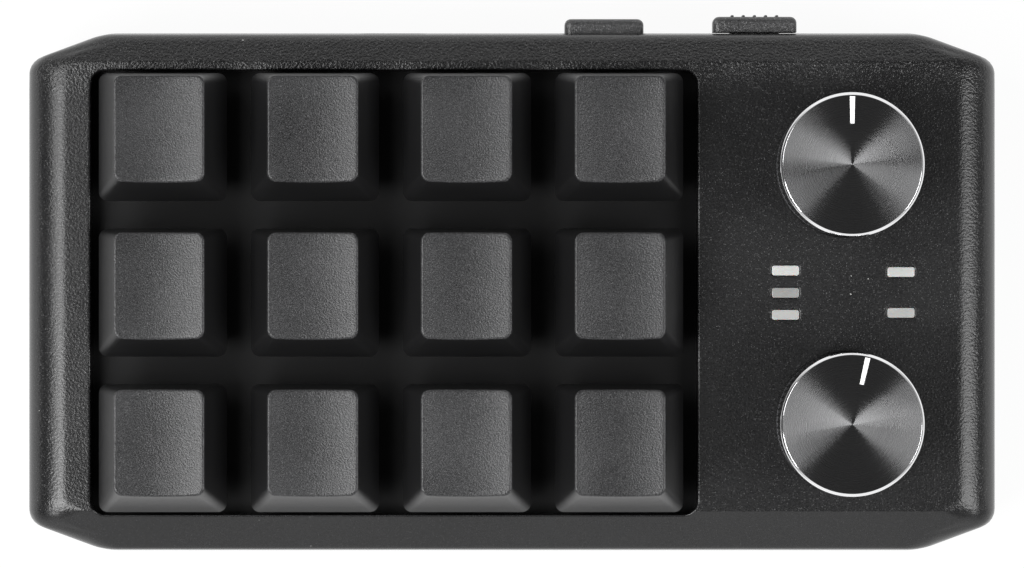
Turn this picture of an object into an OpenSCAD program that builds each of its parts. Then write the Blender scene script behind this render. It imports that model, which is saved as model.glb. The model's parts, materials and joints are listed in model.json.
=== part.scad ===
// Macro keypad: twelve keys in a sunken well, two knobs that turn and press, five
// indicator windows, and a push button and a slide switch in the rear wall.
// Millimetres. +Z is up, +Y is the rear, and the origin is on the desk, under the
// middle of the base mat.

/* [Case] */
// Width of the case along X
body_w = 138; // [138:1:146]
// Depth of the case along Y
body_d = 74; // [74:0.5:78]
// Height of the deck above the desk
deck_z = 23.4; // [23.2:0.1:24]
// Height of the seam between the two shells
seam_z = 9; // [8.5:0.1:9.5]
// Wall thickness of both shells
wall = 2; // [1.8:0.1:2]
// Length of the cut corner along X
corner_x = 10.95; // [10:0.05:12]
// Length of the cut corner along Y
corner_y = 4.07; // [3.5:0.01:5]
// Radius of the left and right shoulders
shoulder_r = 5.8; // [5:0.1:6]
// Width of the front slope, seen from above
slope_w = 5.6; // [5:0.1:6]
// Width of the rear slope, seen from above
rear_slope_w = 4; // [3.6:0.1:4.4]
// Drop of the front slope
slope_drop = 3.6; // [3:0.1:4]
// Lean of the side walls over their height
lean = 0.6; // [0.3:0.1:0.8]

/* [Keys] */
// Distance between key columns
pitch_x = 21.37; // [21:0.01:21.5]
// Distance between key rows
pitch_y = 21.85; // [21.5:0.01:22]
// Middle of the key block along X
keys_x = -17; // [-17.5:0.1:-16.5]
// Middle of the key block along Y
keys_y = -0.1; // [-0.2:0.1:0.1]
// Side of the square skirt of a keycap
cap_base = 18; // [17.6:0.1:18.2]
// Width of a keycap's top
cap_top_w = 12.56; // [12:0.02:13.4]
// Depth of a keycap's top
cap_top_d = 14.65; // [14:0.05:15.2]
// How far the top is set back at the rear of a keycap
cap_rear_lean = 0.65; // [0.4:0.05:1]
// Height of a keycap
cap_h = 9.4; // [9:0.1:9.8]
// Depth of the dish in a keycap's top
dish = 0.6; // [0.3:0.1:0.8]
// How far a key travels
key_travel = 4; // [3:0.5:4]

/* [Knobs] */
// Diameter of a knob
knob_d = 20; // [18:0.5:22]
// Height of a knob
knob_h = 14.5; // [13:0.5:16]
// Place of both knobs along X
knob_x = 47; // [46:0.1:48]
// Place of the rear knob along Y
rear_knob_y = 17.6; // [17:0.1:18]
// Place of the front knob along Y
front_knob_y = -18.3; // [-18.5:0.1:-17.5]
// Clockwise turn of the rear knob from twelve o'clock
rear_knob_turn = 0; // [0:1:359]
// Clockwise turn of the front knob from twelve o'clock
front_knob_turn = 13; // [0:1:359]
// Length of the pointer line
pointer_l = 3.8; // [3:0.1:5]

/* [Indicators] */
// Width of an indicator window
window_w = 3.85; // [3.4:0.05:4]
// Depth of an indicator window
window_d = 1.4; // [1.2:0.05:1.6]
// Place of the left column of windows along X
left_windows_x = 38.5; // [38:0.1:39]
// Place of the right column of windows along X
right_windows_x = 54.75; // [54:0.05:55]

/* [Rear controls] */
// Place of the push button along X
button_x = 13.05; // [12:0.05:14]
// Width of the push button
button_w = 11.2; // [10:0.1:11.4]
// How far the push button stands out of the case
button_out = 1.67; // [1.2:0.01:2]
// Place of the slide switch cap along X
slide_x = 34.4; // [34:0.1:35]
// Width of the slide switch cap
slide_w = 11.9; // [11:0.1:12]
// How far the slide switch cap stands out, without its ribs
slide_out = 2; // [1.5:0.1:2.2]
// How far the slide switch travels
slide_travel = 2; // [1.5:0.1:2]
// Height of both rear controls
control_h = 4.2; // [3.8:0.1:4.2]

/* [Hidden] */
$fn = 48;

// Cutting solids run this far past the face that they open
past = 1;
// Room between a moving piece and the hole it moves in
gap = 0.3;
// Room between two fixed pieces that fit together
snug = 0.05;

// Heights of the fixed layers
mat_t = 1.6;
mat_out = 1;
base_z = mat_out;
floor_t = 2;
floor_z = base_z + floor_t;
board_t = 1.6;
board_z = deck_z - 11.6;
board_top = board_z + board_t;
plate_t = 1.5;
plate_top = board_top + 5;
plate_z = plate_top - plate_t;
deck_under = deck_z - wall;
seam_gap = 0.25;

// Case outline
half_w = body_w / 2;
half_d = body_d / 2;
corner_angle = atan2(corner_y, corner_x);
side_corner_r = 3;
end_corner_r = 7;
slope_angle = atan2(slope_drop, slope_w);
slope_foot_y = half_d - lean;
front_foot_z = deck_z - slope_drop;
rear_foot_z = deck_z - rear_slope_w * tan(slope_angle);
front_crease_y = slope_foot_y - slope_w;
rear_crease_y = slope_foot_y - rear_slope_w;
foot_r = 1;
arc_steps = 8;
corner_steps = 4;
base_chamfer = 1.6;
base_lean = 0.4;

// Key well
well_w = 85.4;
well_d = 62.6;
well_x = -16.6;
well_y = keys_y;
well_r = 2;
well_wall = 1.1;

// Screws that close the case, and the columns that take them
boss_x = 62.5;
boss_y = 29.5;
boss_r = 2.75;
boss_seat_z = seam_z + 1.2;
boss_places = [for (sx = [-1, 1]) for (sy = [-1, 1]) [sx * boss_x, sy * boss_y]];
screw_r = 1;
screw_head_r = 1.9;
screw_head_h = 1.7;
screw_tip_z = 15;

// Screws that hold the switch plate
plate_boss_r = 1.9;
plate_screw_r = 0.8;
plate_screw_head_r = 1.7;
plate_screw_head_h = 1.2;
plate_left = -65;
plate_right = 32.5;
plate_half_d = well_d / 2 + well_wall;
plate_notch_x = -59.4;
plate_notch_y = 26.2;
plate_screw_places = [for (x = [-62.6, 29.9]) for (y = [-16, 16]) [x, y]];

// Circuit board
board_half_w = 65.5;
board_half_d = 33;
board_notch_x = 58.5;
board_notch_y = 25.6;
board_posts = [
    [-60, 10], [-60, -10], [30, 29], [30, -29], [60, 8], [60, -8], [keys_x, 30], [keys_x, -30]
];
post_r = 1.8;

// Base mat
mat_w = 100;
mat_d = 46;
mat_r = 5;
mat_groove_in = 3;
mat_groove_w = 1;
mat_groove_depth = 0.4;

// Key switches
housing_w = 13.9;
housing_floor = 1;
housing_cavity = 11;
flange_w = 15.6;
flange_t = 1;
housing_top_z = plate_top + 6.6;
housing_top_w = 11;
housing_top_d = 10.4;
stem_hole_w = 7.6;
stem_hole_d = 6.2;
peg_r = 2;
peg_z = board_z - 1.7;
tube_r = 1.95;
tube_bore_r = 1.55;
pole_r = 1.3;
pole_z = board_top + 2.1;
stem_block_z = housing_top_z - key_travel;
tube_top_z = stem_block_z - key_travel - 0.5;
cross_l = 4;
cross_t = 1.2;
cross_h = 3.6;
contact_r = 0.65;
contact_z = board_z - 1;
contact_places = [[-3.81, 2.54], [2.54, 5.08]];
leaf_t = 0.3;
leaf_h = 2;
spring_r = 2.3;
spring_wire = 0.32;
spring_turns = 5;
spring_steps = 8;
spring_sides = 4;

// Keycaps
cap_z = housing_top_z - 0.6;
cap_base_r = 1.3;
cap_top_r = 1.2;
cap_wall = 1.4;
cap_roof = 1.5;
cap_slice = 0.02;
post_outer_r = 2.75;
cross_room = 0.1;
dish_r = (pow(cap_top_w / 2, 2) + dish * dish) / (2 * dish);
cap_front_lean = cap_base - cap_top_d - cap_rear_lean;
cap_side_lean = (cap_base - cap_top_w) / 2;

// Knobs and encoders
knob_z = deck_z + 0.8;
knob_r = knob_d / 2;
knob_top_z = knob_z + knob_h;
knob_chamfer = 0.45;
knob_foot_band = 2;
knob_head_band = 3.5;
knurl_teeth = 72;
knurl_depth = 0.3;
knurl_in = 0.1;
knob_wall = 1.5;
knob_roof = 4.5;
hub_r = 5;
hub_z = knob_z + 1.6;
shaft_r = 3;
shaft_flat = 1.5;
shaft_top_z = knob_top_z - 2.5;
bore_top_z = knob_top_z - 2.2;
encoder_w = 12;
encoder_d = 12.4;
encoder_h = 6.5;
encoder_top_z = board_top + encoder_h;
encoder_cavity_r = 4.6;
rotor_r = 4.2;
rotor_z = board_top + 3.5;
rotor_h = 2;
plunger_r = 2.4;
plunger_z = board_top + 1.8;
cover_w = 13.2;
cover_t = 0.6;
cover_tab_w = 4;
cover_tab_t = 0.5;
bush_r = 3.5;
bush_top_z = deck_z + 1.5;
deck_hole_r = 4;
knob_places = [[knob_x, rear_knob_y], [knob_x, front_knob_y]];
pointer_end_w = 0.82;
pointer_tip_w = 0.66;
pointer_t = 0.4;

// Indicator windows and the light pipes under them
window_r = 0.35;
window_proud = 0.05;
pipe_flange = 0.6;
pipe_flange_t = 0.8;
pipe_w = 3;
pipe_d = 1;
pipe_z = board_top + 1.5;
led_w = 3;
led_d = 1.4;
led_h = 0.6;
window_places = [
    [left_windows_x, 3], [left_windows_x, -0.13], [left_windows_x, -3.24],
    [right_windows_x, 2.8], [right_windows_x, -2.96]
];

// Rear controls
control_z = board_top + 2.5;
control_edge_r = 0.9;
flange_front_y = board_half_d + 0.3;
flange_rear_y = flange_front_y + 0.9;
button_flange = 1.1;
switch_z = board_top + 1.8;
switch_h = 3.3;
switch_d = 3.4;
switch_rear_y = board_half_d - 0.7;
button_switch_w = 8;
button_plunger_r = 0.9;
slide_cap_y = half_d - 0.05;
slide_neck_w = 7;
slide_neck_h = 2.4;
slide_flange_w = 11;
rib_count = 5;
rib_pitch = 1.58;
rib_w = 0.45;
rib_h = 0.25;
lever = 1.5;
slide_switch_w = 9;

// Charging socket
socket_x = keys_x;
socket_w = 8.94;
socket_h = 3.16;
socket_front_y = 29;
socket_rear_y = half_d - 1;
socket_wall = 0.3;
socket_z = board_top + socket_h / 2;
socket_room = 0.35;
tongue_w = 6.7;
tongue_t = 0.7;

// Parts on the underside of the board
battery_w = 60;
battery_d = 40;
battery_h = 5;
battery_r = 2;
nest_t = 1.2;
nest_h = 3;
nest_room = 0.4;
nest_gap_w = 8;
plug_x = 24;
plug_w = 6;
plug_d = 8;
plug_h = 4.5;
lead_r = 0.6;
lead_y = 1.5;
lead_bend = [18.5, 21];
radio_w = 16;
radio_d = 12;
radio_board_t = 0.8;
radio_can_h = 1.5;
radio_x = 45;
chip_w = 7;
chip_h = 0.9;
chip_x = (left_windows_x + right_windows_x) / 2;

// Colours
case_black = [0.13, 0.13, 0.14];
key_black = [0.2, 0.2, 0.21];
housing_black = [0.08, 0.08, 0.09];
knob_black = [0.25, 0.25, 0.26];

// ---- Shapes that more than one piece uses ----

function unit(v) = v / norm(v);

function xy(p) = [p[0], p[1]];

// Points of an arc about a centre
function arc(centre, r, from, to, steps) = [
    for (i = [0 : steps])
        let(a = from + (to - from) * i / steps)
        centre + r * [cos(a), sin(a)]
];

// Points of a fillet at corner b of the path a, b, c
function fillet(a, b, c, r, steps) =
    let(
        u = unit(a - b),
        v = unit(c - b),
        half = acos(u * v) / 2,
        centre = b + unit(u + v) * r / sin(half),
        first = b + u * r / tan(half) - centre,
        last = b + v * r / tan(half) - centre,
        from = atan2(first[1], first[0]),
        sweep = atan2(first[0] * last[1] - first[1] * last[0], first * last)
    )
    arc(centre, r, from, from + sweep, steps);

// A closed path whose corners are [x, y, fillet radius]
function rounded_path(corners, steps) = [
    for (i = [0 : len(corners) - 1])
        let(
            n = len(corners),
            a = xy(corners[(i + n - 1) % n]),
            b = xy(corners[i]),
            c = xy(corners[(i + 1) % n]),
            r = corners[i][2]
        )
        for (p = r > 0 ? fillet(a, b, c, r, steps) : [b]) p
];

// Plan of the case, moved inwards
function plan_path(inset) =
    let(
        x = half_w - inset,
        y = half_d - inset,
        end_x = half_w - corner_x - inset * tan(corner_angle / 2),
        side_y = half_d - corner_y - inset * tan(45 - corner_angle / 2),
        side_r = max(side_corner_r - inset, 0.8),
        end_r = max(end_corner_r - inset, 1)
    )
    rounded_path(
        [
            [x, -side_y, side_r], [x, side_y, side_r], [end_x, y, end_r], [-end_x, y, end_r],
            [-x, side_y, side_r], [-x, -side_y, side_r], [-end_x, -y, end_r], [end_x, -y, end_r]
        ],
        corner_steps
    );

// Front view of the upper shell: leaning walls under round shoulders
function shoulder_path(inset, bottom) =
    let(
        r = shoulder_r - inset,
        x = half_w - lean - shoulder_r,
        z = deck_z - shoulder_r
    )
    concat(
        [[inset - half_w, bottom], [half_w - inset, bottom]],
        arc([x, z], r, 0, 90, arc_steps),
        arc([-x, z], r, 90, 180, arc_steps)
    );

// Side view of the upper shell: leaning walls under flat slopes
function slope_path(inset, bottom) =
    let(
        foot_y = slope_foot_y - inset,
        foot_drop = inset * tan(45 - slope_angle / 2),
        crease_in = inset * tan(slope_angle / 2),
        top_z = deck_z - inset,
        r = inset > 0 ? 0 : foot_r
    )
    rounded_path(
        [
            [inset - half_d, bottom, 0], [half_d - inset, bottom, 0],
            [foot_y, rear_foot_z - foot_drop, r], [rear_crease_y - crease_in, top_z, 0],
            [crease_in - front_crease_y, top_z, 0], [-foot_y, front_foot_z - foot_drop, r]
        ],
        corner_steps
    );

// A path in the XZ plane made solid along Y
module along_y(path, length) {
    rotate([90, 0, 0])
        linear_extrude(length, center = true)
            polygon(path);
}

// A path in the YZ plane made solid along X
module along_x(path, length) {
    rotate([90, 0, 90])
        linear_extrude(length, center = true)
            polygon(path);
}

// Solid form of the upper shell, moved inwards by a wall's thickness
module upper_form(inset, bottom) {
    intersection() {
        linear_extrude(deck_z + past)
            polygon(plan_path(inset));
        along_y(shoulder_path(inset, bottom), body_d + past);
        along_x(slope_path(inset, bottom), body_w + past);
    }
}

// Rounded rectangle about the origin, with true round corners
module rounded_rect(w, d, r) {
    union() {
        square([w - 2 * r, d], center = true);
        square([w, d - 2 * r], center = true);
        for (sx = [-1, 1])
            for (sy = [-1, 1])
                translate([sx * (w / 2 - r), sy * (d / 2 - r)])
                    circle(r);
    }
}

module box(w, d, h) {
    translate([-w / 2, -d / 2, 0])
        cube([w, d, h]);
}

// A block whose four sides lean in to a smaller top
module leaning_block(w, d, top_w, top_d, h) {
    intersection() {
        along_y([[-w / 2, 0], [w / 2, 0], [top_w / 2, h], [-top_w / 2, h]], d + past);
        along_x([[-d / 2, 0], [d / 2, 0], [top_d / 2, h], [-top_d / 2, h]], w + past);
    }
}

// Places its children at the keys, numbered from the rear left along each row
module at_key(k) {
    column = (k - 1) % 4;
    row = floor((k - 1) / 4);
    translate([keys_x + (column - 1.5) * pitch_x, keys_y + (1 - row) * pitch_y, 0])
        children();
}

module at_keys() {
    for (k = [1 : 12])
        at_key(k)
            children();
}

module at_places(places) {
    for (p = places)
        translate([p[0], p[1], 0])
            children();
}

// A cross for a keycap to push onto
module cross_section(l, t) {
    square([l, t], center = true);
    square([t, l], center = true);
}

// ---- Case ----

module top_case() {
    color(case_black)
        difference() {
            union() {
                difference() {
                    upper_form(0, seam_z + seam_gap);
                    upper_form(wall, seam_z + seam_gap - past);
                }
                intersection() {
                    upper_form(wall / 2, seam_z + seam_gap);
                    union() {
                        translate([well_x, well_y, plate_top])
                            box(well_w + 2 * well_wall, well_d + 2 * well_wall, deck_z);
                        at_places(plate_screw_places)
                            translate([0, 0, plate_top])
                                cylinder(h = deck_z, r = plate_boss_r);
                        at_places(boss_places)
                            translate([0, 0, boss_seat_z])
                                cylinder(h = deck_z, r = boss_r);
                    }
                }
            }
            translate([well_x, well_y, seam_z])
                linear_extrude(deck_z)
                    rounded_rect(well_w, well_d, well_r);
            at_places(knob_places)
                translate([0, 0, deck_under - past])
                    cylinder(h = wall + 2 * past, r = deck_hole_r);
            at_places(window_places)
                translate([0, 0, deck_under - past])
                    linear_extrude(wall + 2 * past)
                        rounded_rect(window_w + 2 * snug, window_d + 2 * snug, window_r);
            at_places(boss_places)
                cylinder(h = screw_tip_z + past, r = screw_r + snug);
            at_places(plate_screw_places)
                cylinder(h = deck_under, r = plate_screw_r + snug);
            rear_openings();
        }
}

// Openings of the rear wall: push button, slide switch neck and charging socket
module rear_openings() {
    translate([button_x, half_d, control_z])
        rotate([90, 0, 0])
            linear_extrude(2 * (wall + lean + past), center = true)
                rounded_rect(button_w + 2 * gap, control_h + 2 * gap, control_edge_r);
    translate([slide_x + slide_travel / 2, half_d, switch_z])
        cube(
            [slide_neck_w + slide_travel + 2 * gap, 2 * (wall + lean + past), slide_neck_h + 2 * gap],
            center = true
        );
    translate([socket_x, half_d, socket_z])
        rotate([90, 0, 0])
            linear_extrude(2 * (wall + lean + past), center = true)
                rounded_rect(
                    socket_w + 2 * socket_room,
                    socket_h + 2 * socket_room,
                    socket_h / 2 + socket_room - snug
                );
}

// Solid form of the lower shell, with a chamfered foot
module lower_form() {
    intersection() {
        linear_extrude(seam_z)
            polygon(plan_path(0));
        along_y(foot_path(half_w), body_d + past);
        along_x(foot_path(half_d), body_w + past);
    }
}

function foot_path(half) =
    let(
        x = half - base_lean
    )
    [
        [base_chamfer - x, base_z], [x - base_chamfer, base_z], [x, base_z + base_chamfer],
        [half, seam_z], [-half, seam_z], [-x, base_z + base_chamfer]
    ];

module bottom_case() {
    lip_inset = wall + gap;
    lip_t = 1.1;
    lip_bottom = seam_z - 2;
    color(case_black)
        difference() {
            union() {
                difference() {
                    lower_form();
                    translate([0, 0, floor_z])
                        linear_extrude(seam_z)
                            polygon(plan_path(wall + base_lean));
                }
                translate([0, 0, lip_bottom])
                    linear_extrude(boss_seat_z - lip_bottom)
                        difference() {
                            polygon(plan_path(lip_inset));
                            polygon(plan_path(lip_inset + lip_t));
                        }
                at_places(boss_places)
                    translate([0, 0, floor_z - snug])
                        cylinder(h = boss_seat_z - floor_z + snug, r = boss_r);
                at_places(board_posts)
                    translate([0, 0, floor_z - snug])
                        cylinder(h = board_z - floor_z + snug, r = post_r);
                battery_nest();
            }
            translate([0, 0, base_z - past])
                linear_extrude(mat_t - mat_out + past)
                    rounded_rect(mat_w + 2 * snug, mat_d + 2 * snug, mat_r);
            at_places(boss_places)
                cylinder(h = boss_seat_z + past, r = screw_r + gap);
            at_places(boss_places)
                cylinder(h = base_z + 0.5 + screw_head_h, r = screw_head_r + gap);
        }
}

// Ribs on the floor that keep the battery in place, open where its leads come out
module battery_nest() {
    translate([keys_x, 0, floor_z - snug])
        difference() {
            box(
                battery_w + 2 * (nest_room + nest_t),
                battery_d + 2 * (nest_room + nest_t),
                nest_h + snug
            );
            translate([0, 0, -past])
                box(battery_w + 2 * nest_room, battery_d + 2 * nest_room, nest_h + 2 * past);
            translate([battery_w / 2, 0, snug])
                box(battery_w / 2, nest_gap_w, nest_h + past);
        }
}

module base_mat() {
    color([0.07, 0.07, 0.07])
        difference() {
            linear_extrude(mat_t)
                rounded_rect(mat_w, mat_d, mat_r);
            translate([0, 0, -past])
                linear_extrude(mat_groove_depth + past)
                    difference() {
                        rounded_rect(
                            mat_w - 2 * mat_groove_in,
                            mat_d - 2 * mat_groove_in,
                            mat_r - mat_groove_in
                        );
                        rounded_rect(
                            mat_w - 2 * mat_groove_in - 2 * mat_groove_w,
                            mat_d - 2 * mat_groove_in - 2 * mat_groove_w,
                            mat_r - mat_groove_in - mat_groove_w
                        );
                    }
        }
}

// A screw that points up, with a cross recess in its head
module upward_screw(head_r, head_h, shank_r, shank_h) {
    recess_t = 0.6;
    difference() {
        union() {
            cylinder(h = head_h, r = head_r);
            translate([0, 0, head_h])
                cylinder(h = shank_h, r = shank_r);
        }
        translate([0, 0, -past])
            linear_extrude(head_h / 2 + past)
                cross_section(1.3 * head_r, recess_t);
    }
}

module case_screws() {
    head_z = base_z + 0.5;
    color("dimgray")
        at_places(boss_places)
            translate([0, 0, head_z])
                upward_screw(
                    screw_head_r, screw_head_h, screw_r, screw_tip_z - head_z - screw_head_h
                );
}

// ---- Switch plate and circuit board ----

module switch_plate() {
    front = well_y - plate_half_d;
    rear = well_y + plate_half_d;
    outline = [
        [plate_notch_x, front], [plate_right, front], [plate_right, rear],
        [plate_notch_x, rear], [plate_notch_x, plate_notch_y], [plate_left, plate_notch_y],
        [plate_left, -plate_notch_y], [plate_notch_x, -plate_notch_y]
    ];
    cutout = housing_w + 2 * snug;
    color([0.1, 0.1, 0.11])
        translate([0, 0, plate_z])
            difference() {
                linear_extrude(plate_t)
                    polygon(outline);
                at_keys()
                    translate([0, 0, -past])
                        box(cutout, cutout, plate_t + 2 * past);
                at_places(plate_screw_places)
                    translate([0, 0, -past])
                        cylinder(h = plate_t + 2 * past, r = plate_screw_r + gap);
            }
}

module plate_screws() {
    color("silver")
        at_places(plate_screw_places)
            translate([0, 0, plate_z - plate_screw_head_h])
                upward_screw(
                    plate_screw_head_r,
                    plate_screw_head_h,
                    plate_screw_r,
                    deck_under - plate_z - snug
                );
}

module main_board() {
    w = board_half_w;
    d = board_half_d;
    nx = board_notch_x;
    ny = board_notch_y;
    outline = [
        [w, -ny], [w, ny], [nx, ny], [nx, d], [-nx, d], [-nx, ny],
        [-w, ny], [-w, -ny], [-nx, -ny], [-nx, -d], [nx, -d], [nx, -ny]
    ];
    color([0.05, 0.2, 0.12])
        translate([0, 0, board_z])
            difference() {
                linear_extrude(board_t)
                    polygon(outline);
                at_keys()
                    translate([0, 0, -past])
                        cylinder(h = board_t + 2 * past, r = peg_r + snug);
                at_keys()
                    at_places(contact_places)
                        translate([0, 0, -past])
                            cylinder(h = board_t + 2 * past, r = contact_r + snug);
            }
}

module controller_chip() {
    lead_w = 0.6;
    color([0.06, 0.06, 0.06])
        translate([chip_x, 0, board_top]) {
            box(chip_w, chip_w, chip_h);
            for (side = [-1, 1])
                for (i = [-2 : 2])
                    translate([side * (chip_w + lead_w) / 2, i * lead_w * 2, 0])
                        box(lead_w, lead_w, chip_h / 3);
        }
}

module radio_module() {
    can_in = 1;
    color("gainsboro")
        translate([radio_x, 0, board_z - radio_board_t]) {
            box(radio_w, radio_d, radio_board_t);
            translate([can_in, 0, -radio_can_h])
                box(radio_w - 4 * can_in, radio_d - 2 * can_in, radio_can_h);
        }
}

module battery_cell() {
    r = battery_r;
    seal_w = 1.6;
    seal_t = 1;
    color([0.75, 0.75, 0.72])
        translate([keys_x, 0, floor_z]) {
            along_x(
                rounded_path(
                    [
                        [-battery_d / 2, 0, r], [battery_d / 2, 0, r],
                        [battery_d / 2, battery_h, r], [-battery_d / 2, battery_h, r]
                    ],
                    corner_steps
                ),
                battery_w - 2 * seal_w
            );
            for (side = [-1, 1])
                translate([side * (battery_w - seal_w) / 2, 0, battery_h / 2 - seal_t])
                    box(seal_w, battery_d - 2 * r, 2 * seal_t);
        }
}

module battery_plug() {
    color("ivory")
        translate([plug_x + plug_w / 2, 0, board_z - plug_h])
            box(plug_w, plug_d, plug_h);
}

// Two leads from the cell's end to the plug, each one bent wire
module battery_leads() {
    from = [keys_x + battery_w / 2, floor_z + battery_h / 2];
    to_z = board_z - plug_h / 2;
    bends = [from, [lead_bend[0], from[1]], [lead_bend[1], to_z], [plug_x, to_z]];
    color("firebrick")
        for (side = [-1, 1])
            translate([0, side * lead_y, 0])
                for (i = [0 : 2])
                    wire_run(bends[i], bends[i + 1], i < 2);
}

// A straight run of wire in the XZ plane, with a ball at its far end where it bends
module wire_run(a, b, bends_on) {
    translate([a[0], 0, a[1]])
        rotate([0, atan2(b[0] - a[0], b[1] - a[1]), 0])
            cylinder(h = norm(b - a), r = lead_r);
    if (bends_on)
        translate([b[0], 0, b[1]])
            sphere(lead_r);
}

// A flat oval standing on the XZ plane, made solid along Y
module oval_along_y(w, h, from_y, to_y) {
    translate([socket_x, from_y, socket_z])
        rotate([-90, 0, 0])
            linear_extrude(to_y - from_y)
                rounded_rect(w, h, h / 2 - snug);
}

module charge_socket() {
    back_t = 1;
    color("silver")
        difference() {
            oval_along_y(socket_w, socket_h, socket_front_y, socket_rear_y);
            oval_along_y(
                socket_w - 2 * socket_wall,
                socket_h - 2 * socket_wall,
                socket_front_y + back_t,
                socket_rear_y + past
            );
        }
}

module socket_tongue() {
    base_h = 2;
    base_w = 7.4;
    base_y = socket_front_y + 1;
    base_l = 1.2;
    tongue_end_y = socket_rear_y - 0.8;
    color([0.12, 0.12, 0.12])
        translate([socket_x, 0, socket_z]) {
            translate([-base_w / 2, base_y, -base_h / 2])
                cube([base_w, base_l, base_h]);
            translate([-tongue_w / 2, base_y + base_l, -tongue_t / 2])
                cube([tongue_w, tongue_end_y - base_y - base_l, tongue_t]);
        }
}

// ---- Key switches ----

module lower_housing() {
    difference() {
        union() {
            difference() {
                translate([0, 0, board_top])
                    box(housing_w, housing_w, plate_top - board_top);
                translate([0, 0, board_top + housing_floor])
                    box(housing_cavity, housing_cavity, plate_top);
            }
            translate([0, 0, peg_z])
                cylinder(h = board_top + housing_floor - peg_z, r = peg_r);
            translate([0, 0, board_top])
                cylinder(h = tube_top_z - board_top, r = tube_r);
        }
        translate([0, 0, peg_z + past])
            cylinder(h = tube_top_z, r = tube_bore_r);
        at_places(contact_places)
            translate([0, 0, board_top - past])
                cylinder(h = housing_floor + 2 * past, r = contact_r + snug);
    }
}

module switch_lower_housings() {
    color(housing_black)
        at_keys()
            lower_housing();
}

module switch_upper_housings() {
    rise = housing_top_z - plate_top - flange_t;
    color(housing_black)
        at_keys()
            translate([0, 0, plate_top])
                difference() {
                    union() {
                        box(flange_w, flange_w, flange_t);
                        translate([0, 0, flange_t])
                            leaning_block(
                                housing_w, housing_w, housing_top_w, housing_top_d, rise
                            );
                    }
                    translate([0, 0, -past])
                        box(stem_hole_w, stem_hole_d, housing_top_z);
                }
}

// Two contacts in each switch: a pin through the board and a leaf in the housing
module switch_contacts() {
    foot_w = 2;
    foot_z = board_top + housing_floor;
    color("goldenrod")
        at_keys()
            at_places(contact_places) {
                translate([0, 0, contact_z])
                    cylinder(h = foot_z - contact_z, r = contact_r);
                translate([0, 0, foot_z])
                    box(foot_w, leaf_t * 2, leaf_t);
                translate([0, 0, foot_z + leaf_t])
                    box(foot_w, leaf_t, leaf_h);
            }
}

// One unbroken wire wound as a helix, as rings of points along its middle line
module coil(z, h) {
    rings = spring_turns * spring_steps;
    wire_r = spring_wire / 2;
    rise = h - spring_wire;
    points = [
        for (i = [0 : rings])
            for (j = [0 : spring_sides - 1])
                let(
                    turn = 360 * i / spring_steps,
                    a = 360 * (j + 0.5) / spring_sides,
                    r = spring_r + wire_r * cos(a)
                )
                [r * cos(turn), r * sin(turn), z + wire_r + rise * i / rings + wire_r * sin(a)]
    ];
    sides = [
        for (i = [0 : rings - 1])
            for (j = [0 : spring_sides - 1])
                let(
                    a = i * spring_sides + j,
                    b = i * spring_sides + (j + 1) % spring_sides
                )
                for (f = [
                    [a, b, b + spring_sides],
                    [a, b + spring_sides, a + spring_sides]
                ]) f
    ];
    last = rings * spring_sides;
    ends = [[2, 1, 0], [3, 2, 0], [last, last + 1, last + 2], [last, last + 2, last + 3]];
    polyhedron(points, concat(sides, ends), convexity = 10);
}

module key_springs() {
    spring_z = board_top + housing_floor;
    color("silver")
        at_keys()
            coil(spring_z, stem_block_z - spring_z);
}

module key_stem(k) {
    room = gap;
    color([0.16, 0.16, 0.17])
        at_key(k) {
            translate([0, 0, stem_block_z])
                box(
                    stem_hole_w - 2 * room,
                    stem_hole_d - 2 * room,
                    housing_top_z - stem_block_z
                );
            translate([0, 0, pole_z])
                cylinder(h = stem_block_z - pole_z, r = pole_r);
            translate([0, 0, housing_top_z])
                linear_extrude(cross_h)
                    cross_section(cross_l, cross_t);
        }
}

// A thin slice of a keycap at a share of its height, moved inwards by a wall
module cap_slice_at(share, inset) {
    w = cap_base - 2 * cap_side_lean * share - 2 * inset;
    d = cap_base - (cap_front_lean + cap_rear_lean) * share - 2 * inset;
    r = max(cap_base_r + (cap_top_r - cap_base_r) * share - inset / 2, 0.4);
    translate([0, (cap_front_lean - cap_rear_lean) * share / 2, share * cap_h - cap_slice])
        linear_extrude(cap_slice)
            rounded_rect(w, d, r);
}

module cap_form(top_share, inset) {
    hull($fn = 32) {
        translate([0, 0, cap_slice])
            cap_slice_at(0, inset, $fn = 32);
        cap_slice_at(top_share, inset, $fn = 32);
    }
}

module key_cap(k) {
    hollow_share = 1 - (dish + cap_roof) / cap_h;
    post_z = housing_top_z + 0.2;
    color(key_black)
        at_key(k)
            translate([0, 0, cap_z])
                difference() {
                    union() {
                        difference() {
                            cap_form(1, 0);
                            translate([0, 0, -cap_slice])
                                cap_form(hollow_share, cap_wall);
                        }
                        translate([0, 0, post_z - cap_z])
                            cylinder(h = hollow_share * cap_h - post_z + cap_z, r = post_outer_r);
                    }
                    translate([0, 0, cap_h - dish + dish_r])
                        rotate([90, 0, 0])
                            cylinder(h = 2 * cap_base, r = dish_r, center = true, $fn = 180);
                    linear_extrude(housing_top_z + cross_h + 2 * cross_room - cap_z)
                        cross_section(cross_l + cross_room, cross_t + cross_room);
                }
}

// ---- Knobs and encoders ----

module encoder_housings() {
    color([0.1, 0.22, 0.13])
        at_places(knob_places)
            translate([0, 0, board_top])
                difference() {
                    box(encoder_w, encoder_d, encoder_h);
                    translate([0, 0, housing_floor])
                        cylinder(h = encoder_h, r = encoder_cavity_r);
                }
}

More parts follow.
